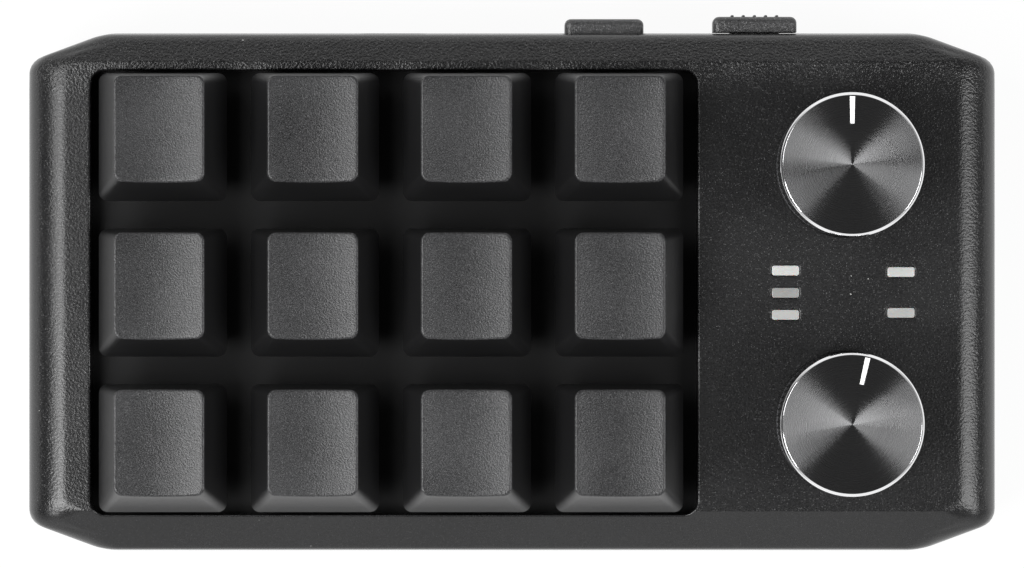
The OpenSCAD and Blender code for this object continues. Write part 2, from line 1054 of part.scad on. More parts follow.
// Sheet cover with a round bush that guides the shaft, and two tabs down the sides
module encoder_covers() {
    tab_x = encoder_w / 2 + 0.1;
    color("silver")
        at_places(knob_places) {
            difference() {
                union() {
                    translate([0, 0, encoder_top_z])
                        box(cover_w, encoder_d, cover_t);
                    translate([0, 0, encoder_top_z])
                        cylinder(h = bush_top_z - encoder_top_z, r = bush_r);
                }
                cylinder(h = knob_top_z, r = shaft_r + snug);
            }
            for (side = [-1, 1])
                translate([side * (tab_x + cover_tab_t / 2), 0, board_top])
                    box(cover_tab_t, cover_tab_w, encoder_h);
        }
}

module plunger() {
    stub_r = 1.4;
    stub_h = 0.5;
    color("ivory") {
        translate([0, 0, plunger_z + stub_h])
            cylinder(h = rotor_z - plunger_z - stub_h, r = plunger_r);
        translate([0, 0, plunger_z])
            cylinder(h = stub_h, r = stub_r);
    }
}

// Half-plane that leaves a flat on a round shaft or bore, on the side away from the pointer
module beyond_flat(distance) {
    translate([-knob_d, -knob_d - distance, hub_z - past])
        cube([2 * knob_d, knob_d, knob_h]);
}

module shaft() {
    color("silver")
        union() {
            difference() {
                translate([0, 0, rotor_z])
                    cylinder(h = shaft_top_z - rotor_z, r = shaft_r);
                translate([0, 0, past])
                    beyond_flat(shaft_flat);
            }
            translate([0, 0, rotor_z])
                cylinder(h = rotor_h, r = rotor_r);
        }
}

// Round outline with fine teeth, a little inside the plain bands above and below
module knurl_outline() {
    polygon([
        for (i = [0 : 2 * knurl_teeth - 1])
            let(
                a = 180 * i / knurl_teeth,
                r = knob_r - knurl_in - knurl_depth * (i % 2)
            )
            [r * cos(a), r * sin(a)]
    ]);
}

module pointer_outline(room) {
    end_r = knob_r - knob_chamfer - 0.1;
    tip_r = end_r - pointer_l;
    polygon([
        [-pointer_end_w / 2 - room, end_r + room], [-pointer_tip_w / 2 - room, tip_r - room],
        [pointer_tip_w / 2 + room, tip_r - room], [pointer_end_w / 2 + room, end_r + room]
    ]);
}

module knob() {
    recess_r = knob_r - knob_wall;
    head_z = knob_top_z - knob_head_band;
    foot_top_z = knob_z + knob_foot_band;
    color(knob_black)
        difference() {
            union() {
                translate([0, 0, knob_z])
                    cylinder(h = knob_foot_band, r = knob_r);
                translate([0, 0, foot_top_z])
                    linear_extrude(head_z - foot_top_z)
                        knurl_outline();
                translate([0, 0, head_z])
                    cylinder(h = knob_head_band - knob_chamfer, r = knob_r);
                translate([0, 0, knob_top_z - knob_chamfer])
                    cylinder(h = knob_chamfer, r1 = knob_r, r2 = knob_r - knob_chamfer);
            }
            translate([0, 0, knob_z - past])
                cylinder(h = hub_z - knob_z + past, r = recess_r);
            difference() {
                translate([0, 0, hub_z - past])
                    cylinder(h = knob_top_z - knob_roof - hub_z + past, r = recess_r);
                translate([0, 0, hub_z - 2 * past])
                    cylinder(h = knob_h, r = hub_r);
            }
            difference() {
                translate([0, 0, hub_z - past])
                    cylinder(h = bore_top_z - hub_z + past, r = shaft_r + snug);
                beyond_flat(shaft_flat + snug);
            }
            translate([0, 0, knob_top_z - pointer_t])
                linear_extrude(pointer_t + past)
                    pointer_outline(0.02);
        }
}

module pointer() {
    color("white")
        translate([0, 0, knob_top_z - pointer_t])
            linear_extrude(pointer_t)
                pointer_outline(0);
}

module at_rear_knob() {
    translate([knob_x, rear_knob_y, 0])
        rotate([0, 0, -rear_knob_turn])
            children();
}

module at_front_knob() {
    translate([knob_x, front_knob_y, 0])
        rotate([0, 0, -front_knob_turn])
            children();
}

// ---- Indicators ----

module indicator_windows() {
    color([0.86, 0.86, 0.84])
        at_places(window_places) {
            translate([0, 0, deck_under])
                linear_extrude(wall + window_proud)
                    rounded_rect(window_w, window_d, window_r);
            translate([0, 0, deck_under - pipe_flange_t])
                linear_extrude(pipe_flange_t)
                    rounded_rect(
                        window_w + 2 * pipe_flange,
                        window_d + 2 * pipe_flange,
                        window_r
                    );
            translate([0, 0, pipe_z])
                box(pipe_w, pipe_d, deck_under - pipe_flange_t - pipe_z);
        }
}

module indicator_leds() {
    lens_w = 1.6;
    lens_h = 0.3;
    color("lemonchiffon")
        at_places(window_places)
            translate([0, 0, board_top]) {
                box(led_w, led_d, led_h);
                translate([0, 0, led_h])
                    box(lens_w, led_d - 0.4, lens_h);
            }
}

// ---- Rear controls ----

// A block with its four long edges and its two outer upright edges rounded
module control_block(w, from_y, to_y) {
    intersection() {
        translate([0, 0, control_z])
            rotate([90, 0, 0])
                linear_extrude(2 * (half_d + 2 * past), center = true)
                    rounded_rect(w, control_h, control_edge_r);
        translate([0, from_y - body_d, control_z - control_h])
            linear_extrude(2 * control_h)
                translate([0, (body_d + to_y - from_y) / 2])
                    rounded_rect(w, body_d + to_y - from_y, control_edge_r);
        translate([-w, from_y, control_z - control_h])
            cube([2 * w, body_d, 2 * control_h]);
    }
}

module rear_button() {
    color(case_black)
        translate([button_x, 0, 0])
            union() {
                control_block(button_w, flange_front_y, half_d + button_out);
                translate([0, (flange_front_y + flange_rear_y) / 2, control_z - control_h / 2])
                    box(
                        button_w + 2 * button_flange,
                        flange_rear_y - flange_front_y,
                        control_h
                    );
            }
}

module button_plunger() {
    reach = 2.3;
    color("ivory")
        translate([button_x, flange_front_y, switch_z])
            rotate([90, 0, 0])
                cylinder(h = reach, r = button_plunger_r);
}

module button_switch() {
    bore_depth = 2.4;
    color([0.15, 0.15, 0.16])
        difference() {
            translate([button_x, switch_rear_y - switch_d / 2, board_top])
                box(button_switch_w, switch_d, switch_h);
            translate([button_x, switch_rear_y + past, switch_z])
                rotate([90, 0, 0])
                    cylinder(h = bore_depth + past, r = button_plunger_r + gap);
        }
}

module slide_cap() {
    first_rib = -(rib_count - 1) / 2 * rib_pitch;
    flange_h = 3.6;
    outer_y = half_d + slide_out;
    color(case_black)
        translate([slide_x, 0, 0])
            difference() {
                union() {
                    control_block(slide_w, slide_cap_y, outer_y);
                    for (i = [0 : rib_count - 1])
                        translate([first_rib + i * rib_pitch, outer_y, control_z])
                            cube(
                                [rib_w, 2 * rib_h, control_h - 2 * control_edge_r],
                                center = true
                            );
                    translate([0, (flange_front_y + slide_cap_y) / 2, switch_z - slide_neck_h / 2])
                        box(slide_neck_w, slide_cap_y - flange_front_y + snug, slide_neck_h);
                    translate([0, (flange_front_y + flange_rear_y) / 2, switch_z + gap - flange_h / 2])
                        box(slide_flange_w, flange_rear_y - flange_front_y, flange_h);
                }
                translate([0, flange_front_y, switch_z])
                    cube([lever + 2 * snug, 2 * lever, lever + 2 * snug], center = true);
            }
}

module slide_lever() {
    reach = 2;
    color("ivory")
        translate([slide_x - lever / 2, flange_front_y - reach, switch_z - lever / 2])
            cube([lever, reach + lever - snug, lever]);
}

module slide_switch() {
    slot_depth = 1.6;
    color("silver")
        translate([slide_x + slide_travel / 2, switch_rear_y, 0])
            difference() {
                translate([0, -switch_d / 2, board_top])
                    box(slide_switch_w, switch_d, switch_h);
                translate([0, 0, switch_z])
                    cube(
                        [lever + slide_travel + 2 * gap, 2 * slot_depth, lever + 2 * gap],
                        center = true
                    );
            }
}

// ---- The pieces ----

top_case();
bottom_case();
base_mat();
case_screws();
switch_plate();
plate_screws();
main_board();
controller_chip();
radio_module();
battery_cell();
battery_plug();
battery_leads();
charge_socket();
socket_tongue();
switch_lower_housings();
switch_upper_housings();
switch_contacts();
key_springs();
for (k = [1 : 12]) {
    key_cap(k);
    key_stem(k);
}
encoder_housings();
encoder_covers();
at_rear_knob() plunger();  // rear_plunger
at_front_knob() plunger();  // front_plunger
at_rear_knob() shaft();  // rear_shaft
at_front_knob() shaft();  // front_shaft
at_rear_knob() knob();  // rear_knob
at_front_knob() knob();  // front_knob
at_rear_knob() pointer();  // rear_pointer
at_front_knob() pointer();  // front_pointer
indicator_windows();
indicator_leds();
rear_button();
button_plunger();
button_switch();
slide_cap();
slide_lever();
slide_switch();
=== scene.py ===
import json
import math

import bmesh
import bpy
import numpy as np
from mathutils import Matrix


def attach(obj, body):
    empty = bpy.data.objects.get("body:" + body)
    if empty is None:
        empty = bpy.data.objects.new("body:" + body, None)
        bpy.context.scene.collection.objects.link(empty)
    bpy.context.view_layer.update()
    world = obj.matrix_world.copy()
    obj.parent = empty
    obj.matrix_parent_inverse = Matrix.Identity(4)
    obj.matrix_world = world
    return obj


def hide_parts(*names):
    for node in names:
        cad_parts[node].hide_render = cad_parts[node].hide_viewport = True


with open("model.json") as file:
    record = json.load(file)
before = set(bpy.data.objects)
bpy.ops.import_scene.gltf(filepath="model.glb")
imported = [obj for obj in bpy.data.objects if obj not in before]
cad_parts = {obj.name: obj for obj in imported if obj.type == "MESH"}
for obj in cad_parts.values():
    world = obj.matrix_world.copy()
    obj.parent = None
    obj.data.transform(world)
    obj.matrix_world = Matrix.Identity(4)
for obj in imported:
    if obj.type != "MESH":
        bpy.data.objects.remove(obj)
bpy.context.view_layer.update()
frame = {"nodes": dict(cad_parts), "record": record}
print("frame loaded with", len(frame["nodes"]), "nodes")

mm = 0.001


# a skin gathers points, in millimetres, and faces with a material mark, into one closed surface
def newSkin():
    return {"points": [], "faces": [], "marks": [], "count": 0}


# puts points into a skin and gives back their numbers in the same grid
def addPoints(skin, points):
    flat = np.asarray(points, float).reshape(-1, 3)
    numbers = np.arange(len(flat)).reshape(np.shape(points)[:-1]) + skin["count"]
    skin["points"].append(flat)
    skin["count"] += len(flat)
    return numbers


# appends faces, all with the same mark
def addFaces(skin, faces, mark=0):
    skin["faces"].extend(faces.tolist())
    skin["marks"].extend([mark] * len(faces))


# quads between neighbouring rows of point numbers; each row is a closed loop
def joinRows(skin, grid, mark=0, flip=False):
    lower, upper = grid[:-1], grid[1:]
    quads = np.stack([lower, np.roll(lower, -1, 1), np.roll(upper, -1, 1), upper], -1).reshape(-1, 4)
    addFaces(skin, quads[:, ::-1] if flip else quads, mark)


# triangles from a closed loop to one middle point
def joinPole(skin, loop, pole, mark=0, flip=False):
    fan = np.stack([loop, np.roll(loop, -1), np.full(len(loop), pole)], -1)
    addFaces(skin, fan[:, ::-1] if flip else fan, mark)


# a grid of closed rows, with a pole at either end where one is wanted
def addRows(skin, rows, mark=0, flip=False, startPole=False, endPole=False):
    numbers = addPoints(skin, rows)
    joinRows(skin, numbers, mark, flip)
    if startPole:
        joinPole(skin, numbers[0], addPoints(skin, rows[:1].mean(1))[0], mark, not flip)
    if endPole:
        joinPole(skin, numbers[-1], addPoints(skin, rows[-1:].mean(1))[0], mark, flip)
    return numbers


# flat triangles between one closed outline and the holes inside it
def fillFlat(skin, loops, up=True, mark=0):
    points = np.concatenate(skin["points"])
    work = bmesh.new()
    order = np.concatenate(loops)
    verts = [work.verts.new(p) for p in points[order]]
    start = 0
    for loop in loops:
        ring = verts[start:start + len(loop)]
        for a, b in zip(ring, ring[1:] + ring[:1]):
            work.edges.new((a, b))
        start += len(loop)
    work.verts.index_update()
    bmesh.ops.triangle_fill(work, use_beauty=True, edges=work.edges[:], normal=(0, 0, 1))
    faces = np.array([[v.index for v in f.verts] for f in work.faces])
    work.free()
    corners = points[order[faces]]
    rise = np.cross(corners[:, 1] - corners[:, 0], corners[:, 2] - corners[:, 0])[:, 2]
    faces[(rise > 0) != up] = faces[(rise > 0) != up][:, ::-1]
    addFaces(skin, order[faces], mark)


# a skin as a mesh object in metres, put into the scene
def meshObject(name, skin):
    mesh = bpy.data.meshes.new(name)
    mesh.from_pydata((np.concatenate(skin["points"]) * mm).tolist(), [], skin["faces"])
    made = bpy.data.objects.new(name, mesh)
    bpy.context.scene.collection.objects.link(made)
    return made


shellSharpAngle = 32


# a piece from a skin, smooth but for edges that turn more than sharpAngle, riding on its body
def makePiece(name, skin, body, nodes, materials, sharpAngle=shellSharpAngle):
    piece = meshObject(name, skin)
    mesh = piece.data
    mesh.polygons.foreach_set("material_index", skin["marks"])
    for material in materials:
        mesh.materials.append(material)
    mesh.shade_smooth()
    mesh.set_sharp_from_angle(angle=math.radians(sharpAngle))
    mesh.update()
    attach(piece, body)
    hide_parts(*nodes)
    return piece


# columns of a rounded rectangle: corner points stay, side points are shares of the corner points beside them
def outlineShares(arcSteps, sideSteps):
    corners = np.eye(4 * (arcSteps + 1)).reshape(4, arcSteps + 1, -1)
    shares = []
    for corner, following in zip(corners, np.roll(corners, -1, 0)):
        last, first = corner[-1], following[0]
        shares.extend(corner)
        shares.extend(last + (first - last) * s for s in np.arange(1, sideSteps) / sideSteps)
    return np.array(shares)


# rounded rectangles, one a row: a corner point is the corner's centre plus r times (cos a, sin a)
def roundedRows(w, d, r, arcSteps=8, sideSteps=6):
    w, d, r = [v[:, None] for v in np.broadcast_arrays(*[np.atleast_1d(v) for v in (w, d, r)])]
    angle = np.concatenate([np.linspace(q, q + 90, arcSteps + 1) for q in (0, 90, 180, 270)])
    signX = np.repeat([1, -1, -1, 1], arcSteps + 1)
    signY = np.repeat([1, 1, -1, -1], arcSteps + 1)
    x = signX * (w / 2 - r) + r * np.cos(np.radians(angle))
    y = signY * (d / 2 - r) + r * np.sin(np.radians(angle))
    return np.stack([x, y], -1).transpose(0, 2, 1) @ outlineShares(arcSteps, sideSteps).T


# plan rows of (x, y) with one height z a row
def withHeight(rows, z):
    rows = rows.transpose(0, 2, 1)
    return np.concatenate([rows, np.broadcast_to(np.reshape(z, (-1, 1, 1)), (*rows.shape[:2], 1))], -1)


# points of a plan, all at height z
def atHeight(plan, z):
    return np.concatenate([plan, np.full((*plan.shape[:-1], 1), float(z))], -1)


# a profile of (radius, height) turned about an upright axis: x = r cos a, y = r sin a
def turnedRows(profile, centre=(0, 0), steps=48):
    profile = np.asarray(profile, float)
    angle = np.arange(steps) * 2 * np.pi / steps
    x = centre[0] + profile[:, :1] * np.cos(angle)
    y = centre[1] + profile[:, :1] * np.sin(angle)
    return np.stack([x, y, np.broadcast_to(profile[:, 1:], x.shape)], -1)


# quarter-round edge as (inset, rise) pairs: inset = r (1 - cos a), rise = r sin a
def quarter(r, steps=5):
    a = np.linspace(0, np.pi / 2, steps + 1)
    return np.stack([r * (1 - np.cos(a)), r * np.sin(a)], -1)


print("mesh tools ready")


# sizes named soft are the widths over which two faces blend
case = {
    "halfW": 69.0, "halfD": 37.0, "deck": 23.4, "seam": 9.25, "wall": 1.8,
    "lean": 0.6, "wallLean": 0.8, "leanTo": 1.2, "cutX": 10.95, "cutY": 4.07, "shoulder": 5.8,
    "frontCrease": -30.8, "rearCrease": 32.4, "slopeW": 5.6, "slopeDrop": 3.6,
    "creaseSoft": 0.1, "footSoft": 0.5, "rearFootSoft": 1.15, "sideSoft": 1.95, "endSoft": 0.6,
    "rimSoft": 2.0, "cornerSoft": 2.2, "cornerFrom": 2.0, "cornerFade": 6.0,
    "change": 1.5, "cutAt": 0.7, "wallAt": 0.5,
    "rootHeight": 17.2, "seamEdge": 0.25, "lipOut": 2.3, "lipIn": 3.4, "lipR": 7.0, "lipFrom": 7.0,
}
foot = {
    "lean": 0.4, "cutZ": 2.6, "soft": 0.5, "baseZ": 1.0, "baseSoft": 0.35, "rootZ": 5.0, "wall": 2.2,
    "floor": 3.0, "top": 9.0, "matW": 100.1, "matD": 46.1, "matR": 5.0, "matTop": 1.6,
    "seatR": 2.2, "seatEdge": 0.15, "seatZ": 3.2, "holeR": 1.3, "seat": 10.2,
}
well = {
    "x": -16.6, "y": -0.1, "w": 85.4, "d": 62.6, "r": 2.0, "edge": 0.3, "floor": 18.4, "wall": 1.1,
    "rings": (21.5, 20.0),
}
# columns that screws enter and posts that carry the plate and the board, with their places in plan
posts = {
    "screws": [(x, y) for x in (-62.5, 62.5) for y in (-29.5, 29.5)],
    "plate": [(x, y) for x in (-62.6, 29.9) for y in (-16, 16)],
    "board": [(-60, 10), (-60, -10), (30, 29), (30, -29), (60, 8), (60, -8), (-17, 30), (-17, -30)],
    "screwR": 2.75, "screwBoreR": 1.05, "screwBoreTop": 16.0, "screwTop": 21.8,
    "plateR": 1.9, "plateBoreR": 0.85, "plateFrom": 18.4, "plateBoreTop": 21.0, "plateTop": 22.0,
    "boardR": 1.8, "boardTop": 11.8,
}


# the larger of two heights, with a soft step of width k where they are close
def softMax(a, b, k):
    return np.maximum(a, b) + np.maximum(k - np.abs(a - b), 0) ** 2 / (4 * k)


# distance outside the four cut corner faces, which lean in as they rise
def cutFaces(x, y, rise):
    length = math.hypot(case["cutX"], case["cutY"])
    nx, ny = case["cutY"] / length, case["cutX"] / length
    reach = (case["halfW"] - case["cutX"]) * nx + case["halfD"] * ny
    return np.abs(x) * nx + np.abs(y) * ny - reach + case["lean"] * rise


# distance outside the upper shell: leaning ends under round shoulders, sloped front and rear, cut corners
def upperField(x, y, z):
    c = case
    angle = math.atan2(c["slopeDrop"], c["slopeW"])
    side = np.abs(x)
    middleX = c["halfW"] - c["lean"] - c["shoulder"]
    middleZ = c["deck"] - c["shoulder"]
    arc = np.hypot(np.maximum(side - middleX, 0), np.maximum(z - middleZ, 0)) - c["shoulder"]
    arc = np.where((side < middleX) & (z > middleZ), z - c["deck"], arc)
    rise = (z - c["seam"]) / (middleZ - c["seam"])
    ends = np.where(z > middleZ, arc, side - c["halfW"] + c["lean"] * rise)
    front = (c["frontCrease"] - y) * math.sin(angle) + (z - c["deck"]) * math.cos(angle)
    rear = (y - c["rearCrease"]) * math.sin(angle) + (z - c["deck"]) * math.cos(angle)
    leanRise = np.minimum(rise * c["wallLean"], c["leanTo"])
    walls = np.abs(y) - c["halfD"] + c["lean"] * leanRise
    cut = cutFaces(x, y, leanRise)
    # which faces meet the deck here: 1 where it is a cut corner, and 1 where it is the front or rear wall
    atCut = np.clip((cut - ends) / c["change"] + c["cutAt"], 0, 1)
    sides = softMax(ends, cut, c["sideSoft"])
    atWall = np.clip((walls - sides) / c["change"] + c["wallAt"], 0, 1)
    wallSoft = np.where(y > 0, c["rearFootSoft"], c["footSoft"])
    nearEnd = np.clip((side - middleX + c["cornerFrom"]) / c["cornerFade"], 0, 1)
    creaseSoft = c["creaseSoft"] + c["cornerSoft"] * nearEnd
    rimSoft = creaseSoft + (c["rimSoft"] - creaseSoft) * atCut
    around = softMax(sides, walls, c["creaseSoft"] + (c["endSoft"] - c["creaseSoft"]) * atCut)
    return softMax(around, np.maximum(front, rear), rimSoft + (wallSoft - rimSoft) * atWall)


# distance outside the lower shell: slightly leaning walls over a cut foot
def lowerField(x, y, z):
    wallIn = foot["lean"] * (foot["top"] - z) / (foot["top"] - foot["cutZ"])
    footIn = foot["lean"] + foot["cutZ"] - z
    side, end, cut = [
        softMax(face + wallIn, face + footIn, foot["soft"])
        for face in (np.abs(x) - case["halfW"], np.abs(y) - case["halfD"], cutFaces(x, y, 0))]
    sides = softMax(softMax(side, cut, case["sideSoft"]), end, case["endSoft"])
    return softMax(sides, foot["baseZ"] - z, foot["baseSoft"])


rayHalvings = 34
rayLength = 30.0


# the point root + ray times reach where the ray first meets the level of a field, by halving the reach
def surfaceAlong(field, roots, rays, level=0.0):
    near, far = np.zeros(roots.shape[:-1]), np.full(roots.shape[:-1], rayLength)
    for step in range(rayHalvings):
        mid = (near + far) / 2
        inside = field(*np.moveaxis(roots + rays * mid[..., None], -1, 0)) < level
        near, far = np.where(inside, mid, near), np.where(inside, far, mid)
    return roots + rays * near[..., None]


# heights of the upper shell over points in plan
def deckPoints(plan, level=0.0):
    return surfaceAlong(upperField, atHeight(plan, case["rootHeight"]), np.array([0.0, 0.0, 1.0]), level)


# runs of (from, to, count) laid end to end, each without its last value
def spread(*runs):
    return np.concatenate([np.linspace(a, b, n, endpoint=False) for a, b, n in runs])


# nearest point of a rounded rectangle, grown all round, to each outside point
def nearestOn(plan, box, grow=0.0):
    r = box["r"] + grow
    centre = (box["x"], box["y"])
    half = np.array([(box["w"] + 2 * grow) / 2 - r, (box["d"] + 2 * grow) / 2 - r])
    core = np.clip(plan - centre, -half, half) + centre
    away = plan - core
    return core + away * r / np.linalg.norm(away, axis=-1, keepdims=True)


# root lines under the rim of the deck and over the foot; split is where the well side meets the knob side
rim = {"left": -62.2, "right": 62.2, "front": -33.0, "rear": 33.5, "r": 1.5, "split": 30.0}
innerRim = dict(rim, r=4.0)
footRim = {"left": -65.3, "right": 65.3, "front": -33.4, "rear": 33.4, "r": 5.0, "split": 30.0}
# where columns change their spacing: places along X, and how near the front and rear creases
columnMarks = {"well": 24, "knob": 34, "end": 54, "front": 2.5, "rear": 1}


# columns round a rounded rectangle q: plan points, outward directions and how many lie on the knob side
def rimColumns(q):
    x0, x1, y0, y1 = q["left"] + q["r"], q["right"] - q["r"], q["front"] + q["r"], q["rear"] - q["r"]
    middle = q["split"]
    wellX, knobX, endX = columnMarks["well"], columnMarks["knob"], columnMarks["end"]
    front, rear = y0 + columnMarks["front"], y1 - columnMarks["rear"]
    turn = np.radians(np.linspace(0, 90, 21)[:-1])
    frontRight = spread((middle, knobX, 6), (knobX, endX, 10), (endX, x1, 14))
    rightUp = spread((y0, front, 14), (front, rear, 26), (rear, y1, 8))
    rearRight = spread((x1, endX, 14), (endX, knobX, 10), (knobX, middle, 6))
    rearLeft = spread((middle, wellX, 14), (wellX, -endX, 36), (-endX, x0, 14))
    leftDown = spread((y1, rear, 8), (rear, front, 26), (front, y0, 14))
    frontLeft = spread((x0, -endX, 14), (-endX, wellX, 36), (wellX, middle, 14))
    parts = []

    def side(x, y, nx, ny):
        parts.append(np.stack(np.broadcast_arrays(x, y, float(nx), float(ny)), -1))

    def corner(x, y, start):
        a = turn + math.radians(start)
        parts.append(np.stack([x + q["r"] * np.cos(a), y + q["r"] * np.sin(a), np.cos(a), np.sin(a)], -1))

    side(frontRight, q["front"], 0, -1)
    corner(x1, y0, -90)
    side(q["right"], rightUp, 1, 0)
    corner(x1, y1, 0)
    side(rearRight, q["rear"], 0, 1)
    knobCount = sum(len(p) for p in parts)
    side(rearLeft, q["rear"], 0, 1)
    corner(x0, y1, 90)
    side(q["left"], leftDown, -1, 0)
    corner(x0, y0, 180)
    side(frontLeft, q["front"], 0, -1)
    table = np.concatenate(parts)
    return table[:, :2], table[:, 2:], knobCount


# rays that lean from level to straight up over the rim's root line
def fanRows(field, plan, out, heights, angles, root, level=0.0):
    flat = atHeight(out, 0)
    levels = [surfaceAlong(field, atHeight(plan, h), flat, level) for h in heights]
    roots = atHeight(plan, root)
    for a in np.radians(angles):
        rays = flat * math.cos(a) + np.array([0, 0, math.sin(a)])
        levels.append(surfaceAlong(field, roots, rays, level))
    return np.array(levels)


# rows shrinking from an outer loop of plan points to an inner one, lifted onto the deck
def ringRows(outer, inner, shares, level=0.0):
    shares = np.asarray(shares)[:, None, None]
    return deckPoints(outer + (inner - outer) * shares, level)


# the line that splits the deck, with close points over both creases
splitLine = spread((rim["front"], -29, 22), (-29, 30.6, 24), (30.6, rim["rear"], 18))
knobField = {"x": 46.2, "y": 0.8, "w": 30.4, "d": 61.6, "r": 1.0}
windows = {
    "places": [(38.5, 3.0), (38.5, -0.13), (38.5, -3.24), (54.75, 2.8), (54.75, -2.96)],
    "w": 3.85, "d": 1.4, "r": 0.35, "top": 23.45, "room": 0.05, "soft": 0.12,
    "pipe": (3.0, 1.0, 0.2), "pipeZ": (14.9, 20.55), "flange": 1.2, "flangeZ": (20.6, 21.35), "neckZ": 21.4,
}
knobs = {"places": [(47.0, 17.6), (47.0, -18.3)], "turns": [0.0, -13.0], "hole": 4.0}
# round at a hole's mouth, and the flat ring round it that keeps the deck's shading even
holeEdge = {"soft": 0.15, "guard": 0.4}


# one level of the upper shell: its rim, the ring round the well and the flat field with its holes
def shellLevel(skin, level, line, rimRows, ringShares, wellOut, soft, up):
    plan, out, knobCount = rimColumns(line)
    rows = addPoints(skin, rimRows)
    joinRows(skin, rows, flip=not up)
    top = rows[-1]
    divide = np.column_stack([np.full(len(splitLine), rim["split"]), splitLine])[1:]
    lineNumbers = addPoints(skin, deckPoints(divide, level))
    wellPlan = np.concatenate([plan[:1], divide, plan[knobCount:]])
    wellLoop = np.concatenate([top[:1], lineNumbers, top[knobCount:]])
    knobPlan = np.concatenate([plan[:knobCount + 1], divide[::-1]])
    knobLoop = np.concatenate([top[:knobCount + 1], lineNumbers[::-1]])
    wellEdge = nearestOn(wellPlan, well, wellOut)
    ring = addPoints(skin, ringRows(wellPlan, wellEdge, ringShares[1:], level))
    joinRows(skin, np.vstack([wellLoop, ring]), flip=not up)
    field = addPoints(skin, ringRows(knobPlan, nearestOn(knobPlan, knobField), ringShares[1:], level))
    joinRows(skin, np.vstack([knobLoop, field]), flip=not up)
    z = case["deck"] + level
    guard = holeEdge["guard"]
    r = knobs["hole"] + soft
    pairs = [turnedRows([(r, z), (r + guard, z)], place, 64) for place in knobs["places"]]
    grow = np.array([0, guard]) + soft
    w, d = [windows[k] + 2 * windows["room"] + 2 * grow for k in ("w", "d")]
    mouth = withHeight(roundedRows(w, d, windows["r"] + windows["room"] + grow, 4, 3), z)
    pairs += [mouth + (x, y, 0) for x, y in windows["places"]]
    numbers = [addPoints(skin, pair) for pair in pairs]
    for pair in numbers:
        joinRows(skin, pair, flip=up)
    fillFlat(skin, [field[-1], *[pair[1] for pair in numbers]], up)
    return rows, ring[-1], wellEdge, [pair[0] for pair in numbers]


# upper shell: outer rim and deck, well walls, hole walls, the same levels one wall further in, and columns
def upperShell():
    skin = newSkin()
    plan, out, knobCount = rimColumns(rim)
    seam, edge, root, wall = case["seam"], case["seamEdge"], case["rootHeight"], case["wall"]
    rise = quarter(edge, 4)
    heights = np.concatenate([seam + rise[:, 0], np.linspace(seam + edge + 0.6, root - 0.5, 6)])
    outer = fanRows(upperField, plan, out, heights, np.linspace(0, 90, 50), root)
    setIn = np.concatenate([edge - rise[:, 1], np.zeros(6)])[:, None, None]
    outer[:len(heights), :, :2] -= out[None] * setIn
    soft = holeEdge["soft"]
    outRows, wellTop, wellPlan, topHoles = shellLevel(
        skin, 0.0, rim, outer, np.linspace(0, 1, 20), well["edge"], soft, True)
    plan, out, knobCount = rimColumns(innerRim)
    heights = np.linspace(seam, root - 1, 4)
    inner = fanRows(upperField, plan, out, heights, np.linspace(0, 90, 14), root, -wall)
    inRows, wellUnder, wellUnderPlan, underHoles = shellLevel(
        skin, -wall, innerRim, inner, np.linspace(0, 1, 5), well["wall"], 0.0, False)
    joinRows(skin, np.vstack([inRows[0], outRows[0]]))
    # well: a quarter-round edge, then straight walls down, under and up the outside
    middle = nearestOn(wellPlan, well)
    wellRows = [
        deckPoints(middle + (wellPlan - middle) * (1 - rise / well["edge"])) - (0, 0, inset)
        for inset, rise in quarter(well["edge"], 5)[1:]]
    wellRows += [atHeight(middle, h) for h in (*well["rings"], well["floor"])]
    wellRows.append(atHeight(wellUnderPlan, well["floor"]))
    joinRows(skin, np.vstack([wellTop, addPoints(skin, wellRows), wellUnder]))
    # hole walls, with a small round at the top
    for top, bottom in zip(topHoles, underHoles):
        points = np.concatenate(skin["points"])
        upper, lower = points[top], points[bottom]
        rounds = [
            upper + (lower + (0, 0, wall) - upper) * (rise / soft) - (0, 0, inset)
            for inset, rise in quarter(soft, 3)[1:-1]]
        wallTop = lower + (0, 0, wall - soft)
        joinRows(skin, np.vstack([top, addPoints(skin, [*rounds, wallTop]), bottom]))
    # columns hang from the inside of the shell
    p = posts
    profiles = {
        "screws": [(p["screwBoreR"], p["screwBoreTop"]), (p["screwBoreR"], foot["seat"]),
                   (p["screwR"], foot["seat"]), (p["screwR"], p["screwTop"])],
        "plate": [(p["plateBoreR"], p["plateBoreTop"]), (p["plateBoreR"], p["plateFrom"]),
                  (p["plateR"], p["plateFrom"]), (p["plateR"], p["plateTop"])],
    }
    for name, steps in (("screws", 32), ("plate", 24)):
        for place in posts[name]:
            addRows(skin, turnedRows(profiles[name], place, steps), startPole=True, endPole=True)
    return skin


